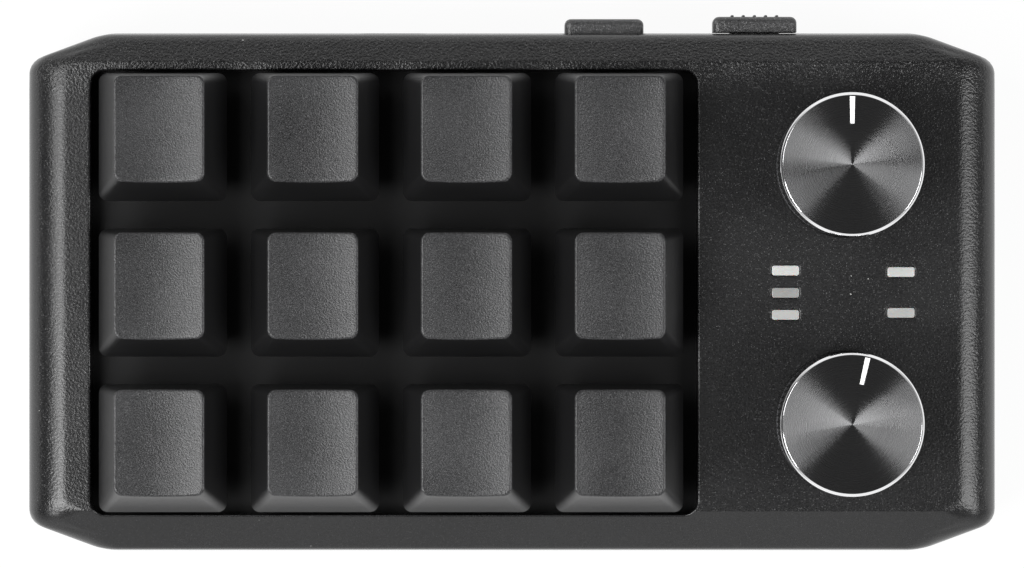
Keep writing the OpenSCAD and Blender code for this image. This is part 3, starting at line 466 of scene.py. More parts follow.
# lower shell: walls and cut foot, recess for the mat, sunk screw seats, posts, a lip inside the upper shell
def lowerShell():
    skin = newSkin()
    plan, out, knobCount = rimColumns(footRim)
    floor, top, base, root = foot["floor"], foot["top"], foot["baseZ"], foot["rootZ"]
    rise = quarter(case["seamEdge"], 4)
    heights = np.concatenate([np.linspace(5.2, 8.6, 4), top - case["seamEdge"] + rise[:, 1]])
    side = fanRows(lowerField, plan, out, heights, [], root)
    side[4:, :, :2] -= out[None] * rise[:, 0, None, None]
    under = fanRows(lowerField, plan, out, [], -np.linspace(90, 0, 36), root)
    wall = fanRows(lowerField, plan, out, [top, 6.0, 4.0], [], root, -foot["wall"])
    wall[:, :, 2] = np.array([top, 6.0, floor])[:, None]
    rows = addPoints(skin, np.concatenate([under, side, wall]))
    joinRows(skin, rows)
    recess = roundedRows([foot["matW"]] * 2, foot["matD"], foot["matR"], 8, 6)
    matRows = addPoints(skin, withHeight(recess, [base, foot["matTop"]]))
    joinRows(skin, matRows, flip=True)
    fillFlat(skin, [matRows[-1]], False)
    # each seat goes up from the underside to the top of its column, and down outside it to the floor
    r, edge, bore, columnR = foot["seatR"], foot["seatEdge"], foot["holeR"], posts["screwR"]
    profile = [(r + edge, base), (r, base + edge), (r, foot["seatZ"]), (bore, foot["seatZ"]),
               (bore, foot["seat"]), (columnR, foot["seat"]), (columnR, floor)]
    seats = [addPoints(skin, turnedRows(profile, place, 40)) for place in posts["screws"]]
    for seat in seats:
        joinRows(skin, seat, flip=True)
    fillFlat(skin, [rows[0], matRows[0], *[seat[0] for seat in seats]], False)
    profile = [(posts["boardR"], floor), (posts["boardR"], posts["boardTop"])]
    columns = [addRows(skin, turnedRows(profile, place, 24), endPole=True) for place in posts["board"]]
    fillFlat(skin, [rows[-1], *[seat[-1] for seat in seats], *[column[0] for column in columns]], True)
    plan, out, knobCount = rimColumns(dict(rim, r=case["lipR"]))
    lipOut, lipIn = [
        fanRows(upperField, plan, out, [10.0], [], 10.0, -case[name])[0] for name in ("lipOut", "lipIn")]
    lip = np.array([lipOut, lipOut, lipIn, lipIn])
    lip[:, :, 2] = np.array([case["lipFrom"], foot["seat"], foot["seat"], case["lipFrom"]])[:, None]
    lipRows = addPoints(skin, lip)
    joinRows(skin, np.vstack([lipRows, lipRows[:1]]))
    return skin


keys = {
    "x": -17.0, "y": -0.1, "columns": 4, "rows": 3, "pitchX": 21.37, "pitchY": 21.85, "z": 24.4, "h": 9.4,
    "base": 18.0, "topW": 12.56, "topD": 14.65, "rearLean": 0.65, "baseR": 1.3, "topR": 1.25, "leastR": 0.4,
    "dish": 0.6, "dishTo": 9.0, "edge": 0.34, "edgeIn": 2.4, "edgeR": 0.3, "foot": 0.2, "bow": 0.2,
    "bowPower": 6, "wall": 1.4, "roof": 1.5, "postR": 2.75, "postZ": 0.8,
    "crossZ": 4.4, "crossHalf": 2.05, "crossArm": 0.65,
}


# one keycap: skirt loops w(s) = base - 2 lean s up to the dish, a small round, then loops that shrink inwards
def keycap():
    k = keys
    skin = newSkin()
    dishR = ((k["topW"] / 2) ** 2 + k["dish"] ** 2) / (2 * k["dish"])
    lean = (k["base"] - k["topW"]) / 2
    frontLean = k["base"] - k["topD"] - k["rearLean"]
    middleY = (frontLean - k["rearLean"]) / 2

    def dishZ(x):
        return k["h"] - k["dish"] + dishR - np.sqrt(dishR ** 2 - np.minimum(np.abs(x), k["dishTo"]) ** 2)

    def skirt(share, inset=0.0):
        share = np.atleast_1d(share)
        w = k["base"] - 2 * lean * share - 2 * inset
        d = k["base"] - (frontLean + k["rearLean"]) * share - 2 * inset
        r = np.maximum(k["baseR"] + (k["topR"] - k["baseR"]) * share - inset / 2, k["leastR"])
        rows = withHeight(roundedRows(w, d, r, 9, 10), share * k["h"])
        rows[:, :, 1] += (middleY * share)[:, None]
        # the front face swells a little towards its middle
        front = np.clip(-rows[:, :, 1] / (k["base"] / 2), 0, 1) ** k["bowPower"]
        swell = k["bow"] * front * share[:, None] * np.cos(rows[:, :, 0] / w[:, None] * np.pi)
        rows[:, :, 1] -= swell * (inset == 0)
        return rows

    # the skirt's lines end where they meet the dish
    sharp, base = skirt(1.0)[0], skirt(0.0)[0]
    share = np.full(len(sharp), 1.0)
    for step in range(5):
        edgeLoop = base + (sharp - base) * share[:, None]
        share = dishZ(edgeLoop[:, 0]) / k["h"]
    up = (sharp - base) / np.linalg.norm(sharp - base, axis=1)[:, None]
    targetW, targetD = k["topW"] - k["edgeIn"], k["topD"] - k["edgeIn"]
    target = {"x": 0, "y": middleY, "w": targetW, "d": targetD, "r": k["edgeR"]}
    inward = nearestOn(edgeLoop[:, :2], target) - edgeLoop[:, :2]
    inner = edgeLoop[:, :2] + inward / np.linalg.norm(inward, axis=1)[:, None] * k["edge"]
    inner = np.column_stack([inner, dishZ(inner[:, 0])])
    outward = base[:, :2] * 2 / k["base"]
    bottom = np.stack([
        base + (0, 0, k["foot"]) - atHeight(outward * inset, drop)
        for inset, drop in quarter(k["foot"], 3)[::-1]])
    low, high = base + up * k["foot"], edgeLoop - up * k["edge"]
    wall = low + (high - low) * np.linspace(0, 1, 8)[1:, None, None]
    q = np.linspace(0, 1, 7)[1:, None, None]
    edge = (1 - q) ** 2 * high + 2 * q * (1 - q) * edgeLoop + q ** 2 * inner
    shrink = (1 - np.linspace(0, 1, 15)[1:-1])[:, None, None]
    plan = (0, middleY) + (inner[:, :2] - (0, middleY)) * shrink
    top = np.concatenate([plan, dishZ(plan[..., :1])], -1)
    outerRows = addPoints(skin, np.concatenate([bottom, wall, edge, top]))
    skirtRows = len(bottom) + len(wall)
    joinRows(skin, outerRows[:skirtRows])
    joinRows(skin, outerRows[skirtRows - 1:], 1)
    joinPole(skin, outerRows[-1], addPoints(skin, [[0, middleY, k["h"] - k["dish"]]])[0], 1)
    # hollow inside, with the post that grips the stem's cross
    roof = k["h"] - k["dish"] - k["roof"]
    insideRows = addPoints(skin, skirt(np.linspace(0, roof / k["h"], 4), k["wall"]))
    joinRows(skin, insideRows, flip=True)
    joinRows(skin, np.vstack([insideRows[:1], outerRows[:1]]))
    post = addPoints(skin, turnedRows([(k["postR"], roof), (k["postR"], k["postZ"])], steps=40))
    joinRows(skin, post[::-1])
    fillFlat(skin, [insideRows[-1], post[0]], False)
    a, b = k["crossHalf"], k["crossArm"]
    quarterCross = np.array([(a, -b), (a, b), (b, b)])
    turns = [np.linalg.matrix_power([[0, 1], [-1, 0]], i) for i in range(4)]
    cross = np.concatenate([quarterCross @ turn for turn in turns])
    crossRows = addPoints(skin, [atHeight(cross, z) for z in (k["postZ"], k["crossZ"])])
    joinRows(skin, crossRows, flip=True)
    fillFlat(skin, [post[-1], crossRows[0]], False)
    fillFlat(skin, [crossRows[1]], False)
    return skin


knob = {
    "r": 10.0, "z": 24.2, "h": 14.5, "footBand": 2.0, "headBand": 3.5,
    "teeth": 72, "toothDepth": 0.3, "toothPower": 0.8, "toothIn": 0.1,
    "footSoft": 0.3, "bandSoft": 0.18, "step": 0.12, "stepIn": 0.08,
    "chamfer": 0.38, "chamferH": 0.304, "rim": 0.12, "bevel": 0.02,
    "recessR": 8.5, "recessZ": 0.1, "roofZ": 34.2, "hubR": 5.0, "hubZ": 25.8, "boreR": 3.05, "boreZ": 36.5,
    "pip": [(0.22, 0), (0.12, 0.04)], "pipDepth": 0.06,
    "pointerFrom": 9.45, "pointerLength": 3.8, "pointerEnd": 0.74, "pointerTip": 0.6, "pointerDepth": 0.4,
    "pointerBevel": 0.04, "pointerLift": 0.01, "room": 0.02,
}


# plan outline of the pointer: a bar that narrows from its outer end to its tip, grown by room
def pointerOutline(room):
    far, near = knob["pointerFrom"] + room, knob["pointerFrom"] - knob["pointerLength"] - room
    a, b = knob["pointerEnd"] / 2 + room, knob["pointerTip"] / 2 + room
    side = np.linspace(0, 1, 7)[:, None]
    right = np.array([b, near]) + (np.array([a, far]) - np.array([b, near])) * side
    return np.concatenate([right, right[::-1] * (-1, 1)])


# a skin turned clockwise by turn degrees about its own axis, then moved to its place
def placed(skin, place, turn):
    a = math.radians(turn)
    spin = np.array([[math.cos(a), math.sin(a), 0], [-math.sin(a), math.cos(a), 0], [0, 0, 1]])
    skin["points"] = [p @ spin + (*place, 0) for p in skin["points"]]
    return skin


# a knob: a turned profile whose waist radius falls at each tooth of the knurl by
# depth times (1 - |sin| of half the tooth angle) to a power
def knobBody():
    k = knob
    skin = newSkin()
    top, r, steps = k["z"] + k["h"], k["r"], k["teeth"] * 6
    waistLow, waistHigh = k["z"] + k["footBand"], top - k["headBand"]
    soft, foot, bevel, step = k["bandSoft"], k["footSoft"], k["bevel"], k["step"]
    corner = quarter(soft, 3)
    chamferZ = top - k["chamferH"]
    turn = np.linspace(0.3, math.pi / 2, 4)
    body = [(r - foot, k["z"])]
    body += [(r - foot + foot * math.sin(a), k["z"] + foot * (1 - math.cos(a))) for a in turn]
    body += [(r - inset, waistLow - soft + rise) for inset, rise in corner]
    waistR = r - k["toothIn"]
    stepR = waistR - k["stepIn"]
    waist = [(stepR, waistLow + bevel), (waistR, waistLow + step), (waistR, (waistLow + waistHigh) / 2),
             (waistR, waistHigh - step), (stepR, waistHigh - bevel)]
    head = [(r - inset, waistHigh + soft - rise) for inset, rise in corner[::-1]]
    head += [(r, chamferZ - k["rim"]), (r - bevel, chamferZ - bevel)]
    chamferR = r - k["chamfer"]
    cut = [(r - 2 * bevel, chamferZ + bevel), (chamferR + bevel / 2, top - bevel)]
    cut.append((chamferR - 1.5 * bevel, top))
    rows = turnedRows(body + waist + head + cut, steps=steps)
    angle = np.arange(steps) * 2 * np.pi / steps
    dip = k["toothDepth"] * (1 - np.abs(np.sin(angle * k["teeth"] / 2))) ** k["toothPower"]
    rows[len(body):len(body) + len(waist), :, :2] *= (1 - dip / r)[:, None]
    numbers = addPoints(skin, rows)
    sideRows = len(body) + len(waist) + len(head)
    joinRows(skin, numbers[:sideRows], mark=2)
    joinRows(skin, numbers[sideRows - 1:], mark=1)
    slot = pointerOutline(k["room"])
    slotRows = addPoints(skin, [atHeight(slot, z) for z in (top, top - k["pointerDepth"])])
    joinRows(skin, slotRows)
    pip = addPoints(skin, turnedRows([(pipR, top - drop) for pipR, drop in k["pip"]], steps=24))
    joinRows(skin, pip)
    joinPole(skin, pip[-1], addPoints(skin, [[0, 0, top - k["pipDepth"]]])[0])
    fillFlat(skin, [numbers[-1], slotRows[0], pip[0]], True)
    fillFlat(skin, [slotRows[1]], True)
    under = [(k["recessR"], k["z"] + k["recessZ"]), (k["recessR"], k["roofZ"]), (k["hubR"], k["roofZ"]),
             (k["hubR"], k["hubZ"]), (k["boreR"], k["hubZ"]), (k["boreR"], k["boreZ"])]
    underRows = addPoints(skin, turnedRows(under, steps=steps))
    joinRows(skin, np.vstack([numbers[:1], underRows]), flip=True)
    joinPole(skin, underRows[-1], addPoints(skin, [[0, 0, k["boreZ"]]])[0], flip=True)
    return skin


# the pale bar let into the knob's top, with a small bevel
def knobPointer():
    skin = newSkin()
    top, bevel = knob["z"] + knob["h"], knob["pointerBevel"]
    outline, small = pointerOutline(0), pointerOutline(-bevel)
    low = top - knob["pointerDepth"] + knob["pointerLift"]
    rows = [atHeight(outline, low), atHeight(outline, top - bevel), atHeight(small, top)]
    numbers = addPoints(skin, rows)
    joinRows(skin, numbers)
    fillFlat(skin, [numbers[0]], False)
    fillFlat(skin, [numbers[-1]], True)
    return skin


# indicator windows: rounded loops from the light pipe up through the flange to a softly rounded face
def windowPieces():
    w, d, r, top, soft = [windows[name] for name in ("w", "d", "r", "top", "soft")]
    wide = w + windows["flange"], d + windows["flange"], r
    shape = [(*windows["pipe"], z) for z in windows["pipeZ"]] + [(*wide, z) for z in windows["flangeZ"]]
    shape.append((w, d, r, windows["neckZ"]))
    shape += [(w - 2 * i, d - 2 * i, r - i, top - soft + rise) for i, rise in quarter(soft, 4)]
    shape = np.array(shape)
    rows = withHeight(roundedRows(shape[:, 0], shape[:, 1], shape[:, 2], 5, 6), shape[:, 3])
    skin = newSkin()
    for x, y in windows["places"]:
        numbers = addPoints(skin, rows + (x, y, 0))
        joinRows(skin, numbers)
        fillFlat(skin, [numbers[0]], False)
        fillFlat(skin, [numbers[-1]], True)
    return skin


# a block that stands out of the rear wall: rounded loops marching along +Y, closing with a quarter-round
def rearBlock(skin, x, z, w, h, r, fromY, toY, rounding):
    soft = quarter(rounding, 8)[1:]
    y = np.concatenate([[fromY], np.linspace(fromY + 0.1, toY - rounding, 4), toY - rounding + soft[:, 1]])
    inset = np.concatenate([np.zeros(5), soft[:, 0]])
    loops = roundedRows(w - 2 * inset, h - 2 * inset, np.maximum(r - inset * 0.8, 0.15), 8, 6)
    rows = np.stack([x - loops[:, 0], np.broadcast_to(y[:, None], loops[:, 0].shape), z + loops[:, 1]], -1)
    numbers = addPoints(skin, rows)
    joinRows(skin, numbers)
    # the flat outer face shrinks to its middle
    centre = np.array([x, toY, z])
    face = addPoints(skin, centre + (rows[-1] - centre) * np.linspace(1, 0, 6)[1:-1, None, None])
    joinRows(skin, np.vstack([numbers[-1:], face]))
    joinPole(skin, face[-1], addPoints(skin, [centre])[0])
    joinPole(skin, numbers[0], addPoints(skin, [[x, fromY, z]])[0], flip=True)


control = {
    "z": 15.9, "h": 4.2, "r": 0.9, "rounding": 0.9, "flangeFrom": 33.3, "flangeTo": 34.2, "flangeR": 0.3,
    "flangeRounding": 0.1, "lap": 0.05,
}
button = {"x": 13.05, "w": 11.2, "toY": 38.67, "flange": 1.1}
slider = {
    "x": 34.4, "w": 11.9, "fromY": 36.82, "toY": 39.0, "flangeZ": 15.5, "flangeW": 11.0, "flangeH": 3.6,
    "ribs": 5, "pitch": 1.58, "ribW": 0.45, "ribH": 0.25, "ribShort": 1.8, "ribR": 0.2, "ribSunk": 0.2,
    "ribRounding": 0.16, "neckZ": 15.2, "neckW": 7.0, "neckH": 2.4, "neckR": 0.2, "neckRounding": 0.05,
}


# button: a rounded block with a flange behind the wall
def buttonPiece():
    skin = newSkin()
    c, b = control, button
    fromY = c["flangeTo"] - c["lap"]
    rearBlock(skin, b["x"], c["z"], b["w"], c["h"], c["r"], fromY, b["toY"], c["rounding"])
    flangeW = b["w"] + 2 * b["flange"]
    flange = (c["flangeR"], c["flangeFrom"], c["flangeTo"], c["flangeRounding"])
    rearBlock(skin, b["x"], c["z"], flangeW, c["h"], *flange)
    return skin


# slide cap: a rounded block with ribs, on a neck through the wall and a flange behind it
def sliderPiece():
    skin = newSkin()
    c, s = control, slider
    rearBlock(skin, s["x"], c["z"], s["w"], c["h"], c["r"], s["fromY"], s["toY"], c["rounding"])
    for i in range(s["ribs"]):
        x = s["x"] + (i - (s["ribs"] - 1) / 2) * s["pitch"]
        ribH, fromY, toY = c["h"] - s["ribShort"], s["toY"] - s["ribSunk"], s["toY"] + s["ribH"]
        rearBlock(skin, x, c["z"], s["ribW"], ribH, s["ribR"], fromY, toY, s["ribRounding"])
    fromY, toY = c["flangeTo"] - c["lap"], s["fromY"] + c["lap"]
    rearBlock(skin, s["x"], s["neckZ"], s["neckW"], s["neckH"], s["neckR"], fromY, toY, s["neckRounding"])
    flange = (c["flangeR"], c["flangeFrom"], c["flangeTo"], c["flangeRounding"])
    rearBlock(skin, s["x"], s["flangeZ"], s["flangeW"], s["flangeH"], *flange)
    return skin


# links a socket to an input, or sets a constant on it; a colour gets its alpha
def feed(tree, socket, value):
    if isinstance(value, bpy.types.NodeSocket):
        tree.links.new(value, socket)
    else:
        socket.default_value = (*value, 1) if socket.type == "RGBA" else value


# feeds a node's inputs by name, with _ for a space
def feedNamed(tree, node, **named):
    for title, value in named.items():
        feed(tree, node.inputs[title.replace("_", " ")], value)


# a node of one kind, its first inputs fed in order and others by name
def addNode(tree, kind, *given, **named):
    node = tree.nodes.new("ShaderNode" + kind)
    for socket, value in zip(node.inputs, given):
        feed(tree, socket, value)
    feedNamed(tree, node, **named)
    return node


# the outputs of a node that works out one operation of its inputs
def operationOutputs(tree, kind, operation, values):
    node = tree.nodes.new("ShaderNode" + kind)
    node.operation = operation
    for socket, value in zip(node.inputs, values):
        feed(tree, socket, value)
    return node.outputs


# one operation of up to three numbers, each a socket or a constant
def mathNode(tree, operation, *values):
    return operationOutputs(tree, "Math", operation, values)[0]


# one operation of vectors, read from the output that is named
def vectorNode(tree, operation, output, *values):
    return operationOutputs(tree, "VectorMath", operation, values)[output]


# fractal noise of a vector, from 0 to 1
def noiseNode(tree, vector, scale, detail=2.0, rough=0.5):
    node = addNode(tree, "TexNoise", Vector=vector, Scale=scale, Detail=detail, Roughness=rough)
    return node.outputs["Fac"]


# maps low..high onto toLow..toHigh along a straight line, clamped
def ramp(tree, value, low, high, toLow=0.0, toHigh=1.0):
    return addNode(tree, "MapRange", value, low, high, toLow, toHigh).outputs["Result"]


# round cells: the distance to the nearest cell's middle, and that cell's random numbers
def cellNoise(tree, vector, scale):
    cells = addNode(tree, "TexVoronoi", Vector=vector, Scale=scale)
    return cells.outputs["Distance"], addNode(tree, "SeparateColor", cells.outputs["Color"]).outputs


# (1 - factor) times colour a plus factor times colour b
def mixColours(tree, factor, a, b):
    node = tree.nodes.new("ShaderNodeMix")
    node.data_type = "RGBA"
    for number, value in ((0, factor), (6, a), (7, b)):
        feed(tree, node.inputs[number], value)
    return node.outputs[2]


# a normal tilted by the slope of height times a distance in millimetres
def bumpNode(tree, height, distance):
    return addNode(tree, "Bump", Height=height, Distance=distance * mm).outputs[0]


# place on the object, as its own coordinates
def objectPlace(tree):
    return addNode(tree, "TexCoord").outputs["Object"]


# an empty node material with one principled shader
def newMaterial(name):
    material = bpy.data.materials.new(name)
    material.use_nodes = True
    tree = material.node_tree
    tree.nodes.clear()
    shader = addNode(tree, "BsdfPrincipled")
    addNode(tree, "OutputMaterial", shader.outputs[0])
    return material, tree, shader


# a node group of a vector and named numbers, with numbers coming out
def newGroup(name, numbers, results):
    group = bpy.data.node_groups.new(name, "ShaderNodeTree")
    group.interface.new_socket("Vector", in_out="INPUT", socket_type="NodeSocketVector")
    for title, value in numbers.items():
        socket = group.interface.new_socket(title, in_out="INPUT", socket_type="NodeSocketFloat")
        socket.default_value = value
    for title in results:
        group.interface.new_socket(title, in_out="OUTPUT", socket_type="NodeSocketFloat")
    return group, group.nodes.new("NodeGroupInput").outputs, group.nodes.new("NodeGroupOutput")


# a group placed in a tree, fed with a vector and named constants
def useGroup(tree, group, vector, **values):
    node = tree.nodes.new("ShaderNodeGroup")
    node.node_tree = group
    feedNamed(tree, node, Vector=vector, **values)
    return node.outputs


pebbles = {
    "cellScale": 1.7, "cellDepth": 0.25, "dotFrom": 0.34, "dotTo": 0.16, "palest": 0.7, "dullest": 0.3,
    "mottleScale": 1.6, "driftScale": 55.0, "driftDetail": 3.0, "driftRough": 0.55,
}


# moulded grain: a pebbled height, small pale flecks that are painted glints of the grain, a fine mottle and
# slow drifts in tone
def makeGrain():
    p = pebbles
    numbers = {"Grain Scale": 2600.0, "Fleck Share": 0.12}
    group, given, out = newGroup("mouldedGrain", numbers, ("Height", "Fleck", "Mottle", "Drift"))
    vector, scale = given["Vector"], given["Grain Scale"]
    distance, random = cellNoise(group, vector, mathNode(group, "MULTIPLY", scale, p["cellScale"]))
    # painted highlight: a random share of cells becomes a pale dot that stands in for the grain's glints
    chosen = mathNode(group, "LESS_THAN", random[0], given["Fleck Share"])
    dot = ramp(group, distance, p["dotFrom"], p["dotTo"])
    tone = mathNode(group, "MULTIPLY_ADD", random[1], p["palest"], p["dullest"])
    mottle = noiseNode(group, vector, mathNode(group, "MULTIPLY", scale, p["mottleScale"]), 1.0)
    pebble = noiseNode(group, vector, scale, 1.0)
    feedNamed(
        group, out,
        Height=mathNode(group, "MULTIPLY_ADD", distance, -p["cellDepth"], pebble),
        Fleck=mathNode(group, "MULTIPLY", chosen, mathNode(group, "MULTIPLY", dot, tone)),
        Mottle=ramp(group, mottle, 0.3, 0.7),
        Drift=noiseNode(group, vector, p["driftScale"], p["driftDetail"], p["driftRough"]))
    return group


speckSizes = {"scale": 420.0, "smallest": 0.018, "largest": 0.05}


# dust: a sparse scatter of pale specks, each a tiny disc in its own cell
def makeDust():
    group, given, out = newGroup("dustSpecks", {"Amount": 0.04}, ("Speck",))
    distance, random = cellNoise(group, given["Vector"], speckSizes["scale"])
    chosen = mathNode(group, "LESS_THAN", random[0], given["Amount"])
    size = ramp(group, random[1], 0.0, 1.0, speckSizes["smallest"], speckSizes["largest"])
    disc = mathNode(group, "LESS_THAN", distance, size)
    feedNamed(group, out, Speck=mathNode(group, "MULTIPLY", chosen, disc))
    return group


mouldedGrain, dustSpecks = makeGrain(), makeDust()

# where the case's grain lies, with places along Y in millimetres and slants as the height of the normal
caseGrain = {
    "pressed": 0.5, "left": 0.2, "slopeY": (-31.1, -30.8), "steep": (0.5, 0.8),
    "turned": (0.94, 0.995), "turnedGrain": 1.5, "rearY": (27.0, 32.5), "rearGrain": 3.0,
}


# grain pressed straight down, so it keeps its size round the shoulders: it fades on steep walls and on the
# front slope, and grows on turned faces and towards the rear; gives vector, the share of painted glint flecks
# and of dust, share of grain. The painted glints fade where the grain catches little light
def grainPlace(tree, vector, place):
    pressed = addNode(tree, "Mapping", Vector=vector, Scale=(1, 1, place["pressed"])).outputs[0]
    y = addNode(tree, "SeparateXYZ", vector).outputs["Y"]
    up = addNode(tree, "SeparateXYZ", addNode(tree, "NewGeometry").outputs["Normal"]).outputs["Z"]
    slope = ramp(tree, y, *[v * mm for v in place["slopeY"]], place["left"], 1.0)
    upright = ramp(tree, up, *place["steep"], place["left"], 1.0)
    turned = ramp(tree, up, *place["turned"], place["turnedGrain"], 1.0)
    rear = ramp(tree, y, *[v * mm for v in place["rearY"]], 1.0, place["rearGrain"])
    glintAndDustShare = mathNode(tree, "MULTIPLY", slope, upright)
    return pressed, glintAndDustShare, mathNode(tree, "MULTIPLY", mathNode(tree, "MULTIPLY", glintAndDustShare, turned), rear)


# shares of mottle and drift in the tone, what each adds to the roughness, and the dust's colour
plasticMix = {
    "mottle": 0.7, "drift": 0.3, "driftGloss": 0.05, "mottleGloss": 0.04, "dust": (0.35, 0.35, 0.34),
}


# one moulded plastic: base tone with drift and mottle, pale flecks that are painted glints of the grain,
# grain in the normal, dust on top
def plastic(name, tone, rough, grain, height, specular=0.5, paintedGlintTone=0.05, paintedGlintShare=0.12, mottle=0.2,
            dust=0.04, place=None):
    material, tree, shader = newMaterial(name)
    vector, glintAndDustShare, amount = objectPlace(tree), 1.0, 1.0
    if place:
        vector, glintAndDustShare, amount = grainPlace(tree, vector, place)
    look = useGroup(tree, mouldedGrain, vector, Grain_Scale=grain, Fleck_Share=paintedGlintShare)
    speck = useGroup(tree, dustSpecks, vector, Amount=dust)["Speck"]
    drift = ramp(tree, look["Drift"], 0.3, 0.7)
    shade = mathNode(tree, "MULTIPLY", drift, plasticMix["drift"])
    shade = mathNode(tree, "MULTIPLY_ADD", look["Mottle"], plasticMix["mottle"], shade)
    colour = mixColours(tree, shade, [c * (1 - mottle) for c in tone], [c * (1 + mottle) for c in tone])
    # painted highlight: the pale flecks are painted glints, kept only where the share lets light catch them
    colour = mixColours(tree, mathNode(tree, "MULTIPLY", look["Fleck"], glintAndDustShare), colour, [paintedGlintTone] * 3)
    gloss = mathNode(tree, "MULTIPLY_ADD", drift, plasticMix["driftGloss"], rough)
    feedNamed(
        tree, shader, Specular_IOR_Level=specular,
        Base_Color=mixColours(tree, mathNode(tree, "MULTIPLY", speck, glintAndDustShare), colour, plasticMix["dust"]),
        Roughness=mathNode(tree, "MULTIPLY_ADD", look["Mottle"], plasticMix["mottleGloss"], gloss),
        Normal=bumpNode(tree, mathNode(tree, "MULTIPLY", look["Height"], amount), height))
    return material


# grain in cells a metre, heights in millimetres; the fleck tones and shares set the painted glints
plastics = {
    "caseBlack": {
        "tone": (0.0086, 0.0086, 0.009), "rough": 0.23, "grain": 2900.0, "height": 0.034,
        "paintedGlintTone": 0.15, "paintedGlintShare": 0.3, "mottle": 0.5, "dust": 0.08, "place": caseGrain},
    # painted shade: the keycap's skirts get a third of the top's tone, darkened as sides that sit between
    # neighbouring caps
    "keySkirtPaintedShade": {
        "tone": (0.008, 0.008, 0.0084), "rough": 0.31, "grain": 2600.0, "height": 0.001,
        "specular": 1.0, "paintedGlintShare": 0.0, "mottle": 0.1, "dust": 0.02},
    "keyTop": {
        "tone": (0.025, 0.025, 0.026), "rough": 0.28, "grain": 4300.0, "height": 0.042,
        "specular": 0.4, "paintedGlintTone": 0.16, "paintedGlintShare": 0.25, "mottle": 0.9},
    "controlBlack": {
        "tone": (0.03, 0.03, 0.031), "rough": 0.32, "grain": 2800.0, "height": 0.08,
        "specular": 0.8, "paintedGlintTone": 0.3, "paintedGlintShare": 0.3, "mottle": 0.6},
    "stemBlack": {"tone": (0.02, 0.02, 0.022), "rough": 0.4, "grain": 2400.0, "height": 0.003},
    "housingBlack": {
        "tone": (0.005, 0.005, 0.0055), "rough": 0.5, "grain": 2400.0, "height": 0.005,
        "specular": 0.25, "paintedGlintTone": 0.015},
    "epoxyBlack": {"tone": (0.02, 0.02, 0.02), "rough": 0.6, "grain": 3600.0, "height": 0.006},
    "ivoryPlastic": {
        "tone": (0.72, 0.69, 0.6), "rough": 0.45, "grain": 2500.0, "height": 0.003,
        "paintedGlintTone": 0.8, "mottle": 0.04, "dust": 0.0},
    "encoderGreen": {
        "tone": (0.03, 0.09, 0.05), "rough": 0.45, "grain": 3000.0, "height": 0.004, "paintedGlintTone": 0.09},
    "matRubber": {
        "tone": (0.02, 0.02, 0.02), "rough": 0.85, "grain": 1500.0, "height": 0.02, "specular": 0.3},
    "leadRed": {
        "tone": (0.4, 0.02, 0.02), "rough": 0.4, "grain": 2000.0, "height": 0.003,
        "paintedGlintTone": 0.3, "paintedGlintShare": 0.0, "dust": 0.0},
    "ledBody": {
        "tone": (0.85, 0.82, 0.6), "rough": 0.35, "grain": 2000.0, "height": 0.002,
        "paintedGlintTone": 0.9, "mottle": 0.04, "dust": 0.0},
    "pointerWhite": {
        "tone": (0.86, 0.86, 0.86), "rough": 0.35, "grain": 2500.0, "height": 0.003,
        "paintedGlintTone": 0.9, "mottle": 0.04, "dust": 0.0},
}

# scale of a metal's stains, and what streaks and stains add to its roughness
metalMix = {"stainScale": 120.0, "stain": 0.15, "streakGloss": 0.16, "stainGloss": 0.08}


# a metal with streaks drawn out along one axis, slow stains and small scratches
def metal(name, tone, rough, metallic=1.0, stretch=(1, 1, 12), scale=2200.0, height=0.003, specular=0.5):
    material, tree, shader = newMaterial(name)
    vector = objectPlace(tree)
    drawn = addNode(tree, "Mapping", Vector=vector, Scale=[1 / s for s in stretch]).outputs[0]
    streak = noiseNode(tree, drawn, scale, 3.0, 0.6)
    cloud = noiseNode(tree, vector, metalMix["stainScale"], 3.0, 0.6)
    stain, streakGloss = metalMix["stain"], metalMix["streakGloss"]
    dark, pale = [c * (1 - stain) for c in tone], [min(1, c * (1 + stain)) for c in tone]
    gloss = mathNode(tree, "MULTIPLY_ADD", streak, streakGloss, rough - streakGloss / 2)
    feedNamed(
        tree, shader, Metallic=metallic, Specular_IOR_Level=specular,
        Base_Color=mixColours(tree, cloud, dark, pale),
        Roughness=mathNode(tree, "MULTIPLY_ADD", cloud, metalMix["stainGloss"], gloss),
        Normal=bumpNode(tree, streak, height))
    return material


metals = {
    "screwBlack": {"tone": (0.12, 0.12, 0.125), "rough": 0.4},
    "plateBlack": {
        "tone": (0.009, 0.009, 0.0092), "rough": 0.55, "metallic": 0.0, "stretch": (1, 1, 1),
        "scale": 2500.0, "height": 0.008, "specular": 0.15},
    "tinnedCan": {"tone": (0.55, 0.55, 0.53), "rough": 0.35, "stretch": (8, 1, 1)},
    "socketSteel": {"tone": (0.6, 0.6, 0.6), "rough": 0.28, "stretch": (1, 10, 1)},
    "contactBrass": {"tone": (0.7, 0.5, 0.2), "rough": 0.3},
    "springSteel": {"tone": (0.6, 0.6, 0.62), "rough": 0.25},
    "coverSteel": {"tone": (0.55, 0.55, 0.55), "rough": 0.35, "stretch": (10, 1, 1)},
    "shaftMetal": {"tone": (0.7, 0.7, 0.7), "rough": 0.3, "stretch": (1, 1, 0.2)},
    "cellFilm": {
        "tone": (0.5, 0.5, 0.47), "rough": 0.35, "metallic": 0.6, "stretch": (1, 1, 1), "scale": 400.0,
        "height": 0.03},
}

board = {
    "mask": (0.008, 0.04, 0.022), "track": (0.02, 0.075, 0.04), "weaveScale": 900.0, "weaveHeight": 0.15,
    "trackScale": 160.0, "trackWidth": 0.03, "height": 0.03, "rough": (0.25, 0.33),
}


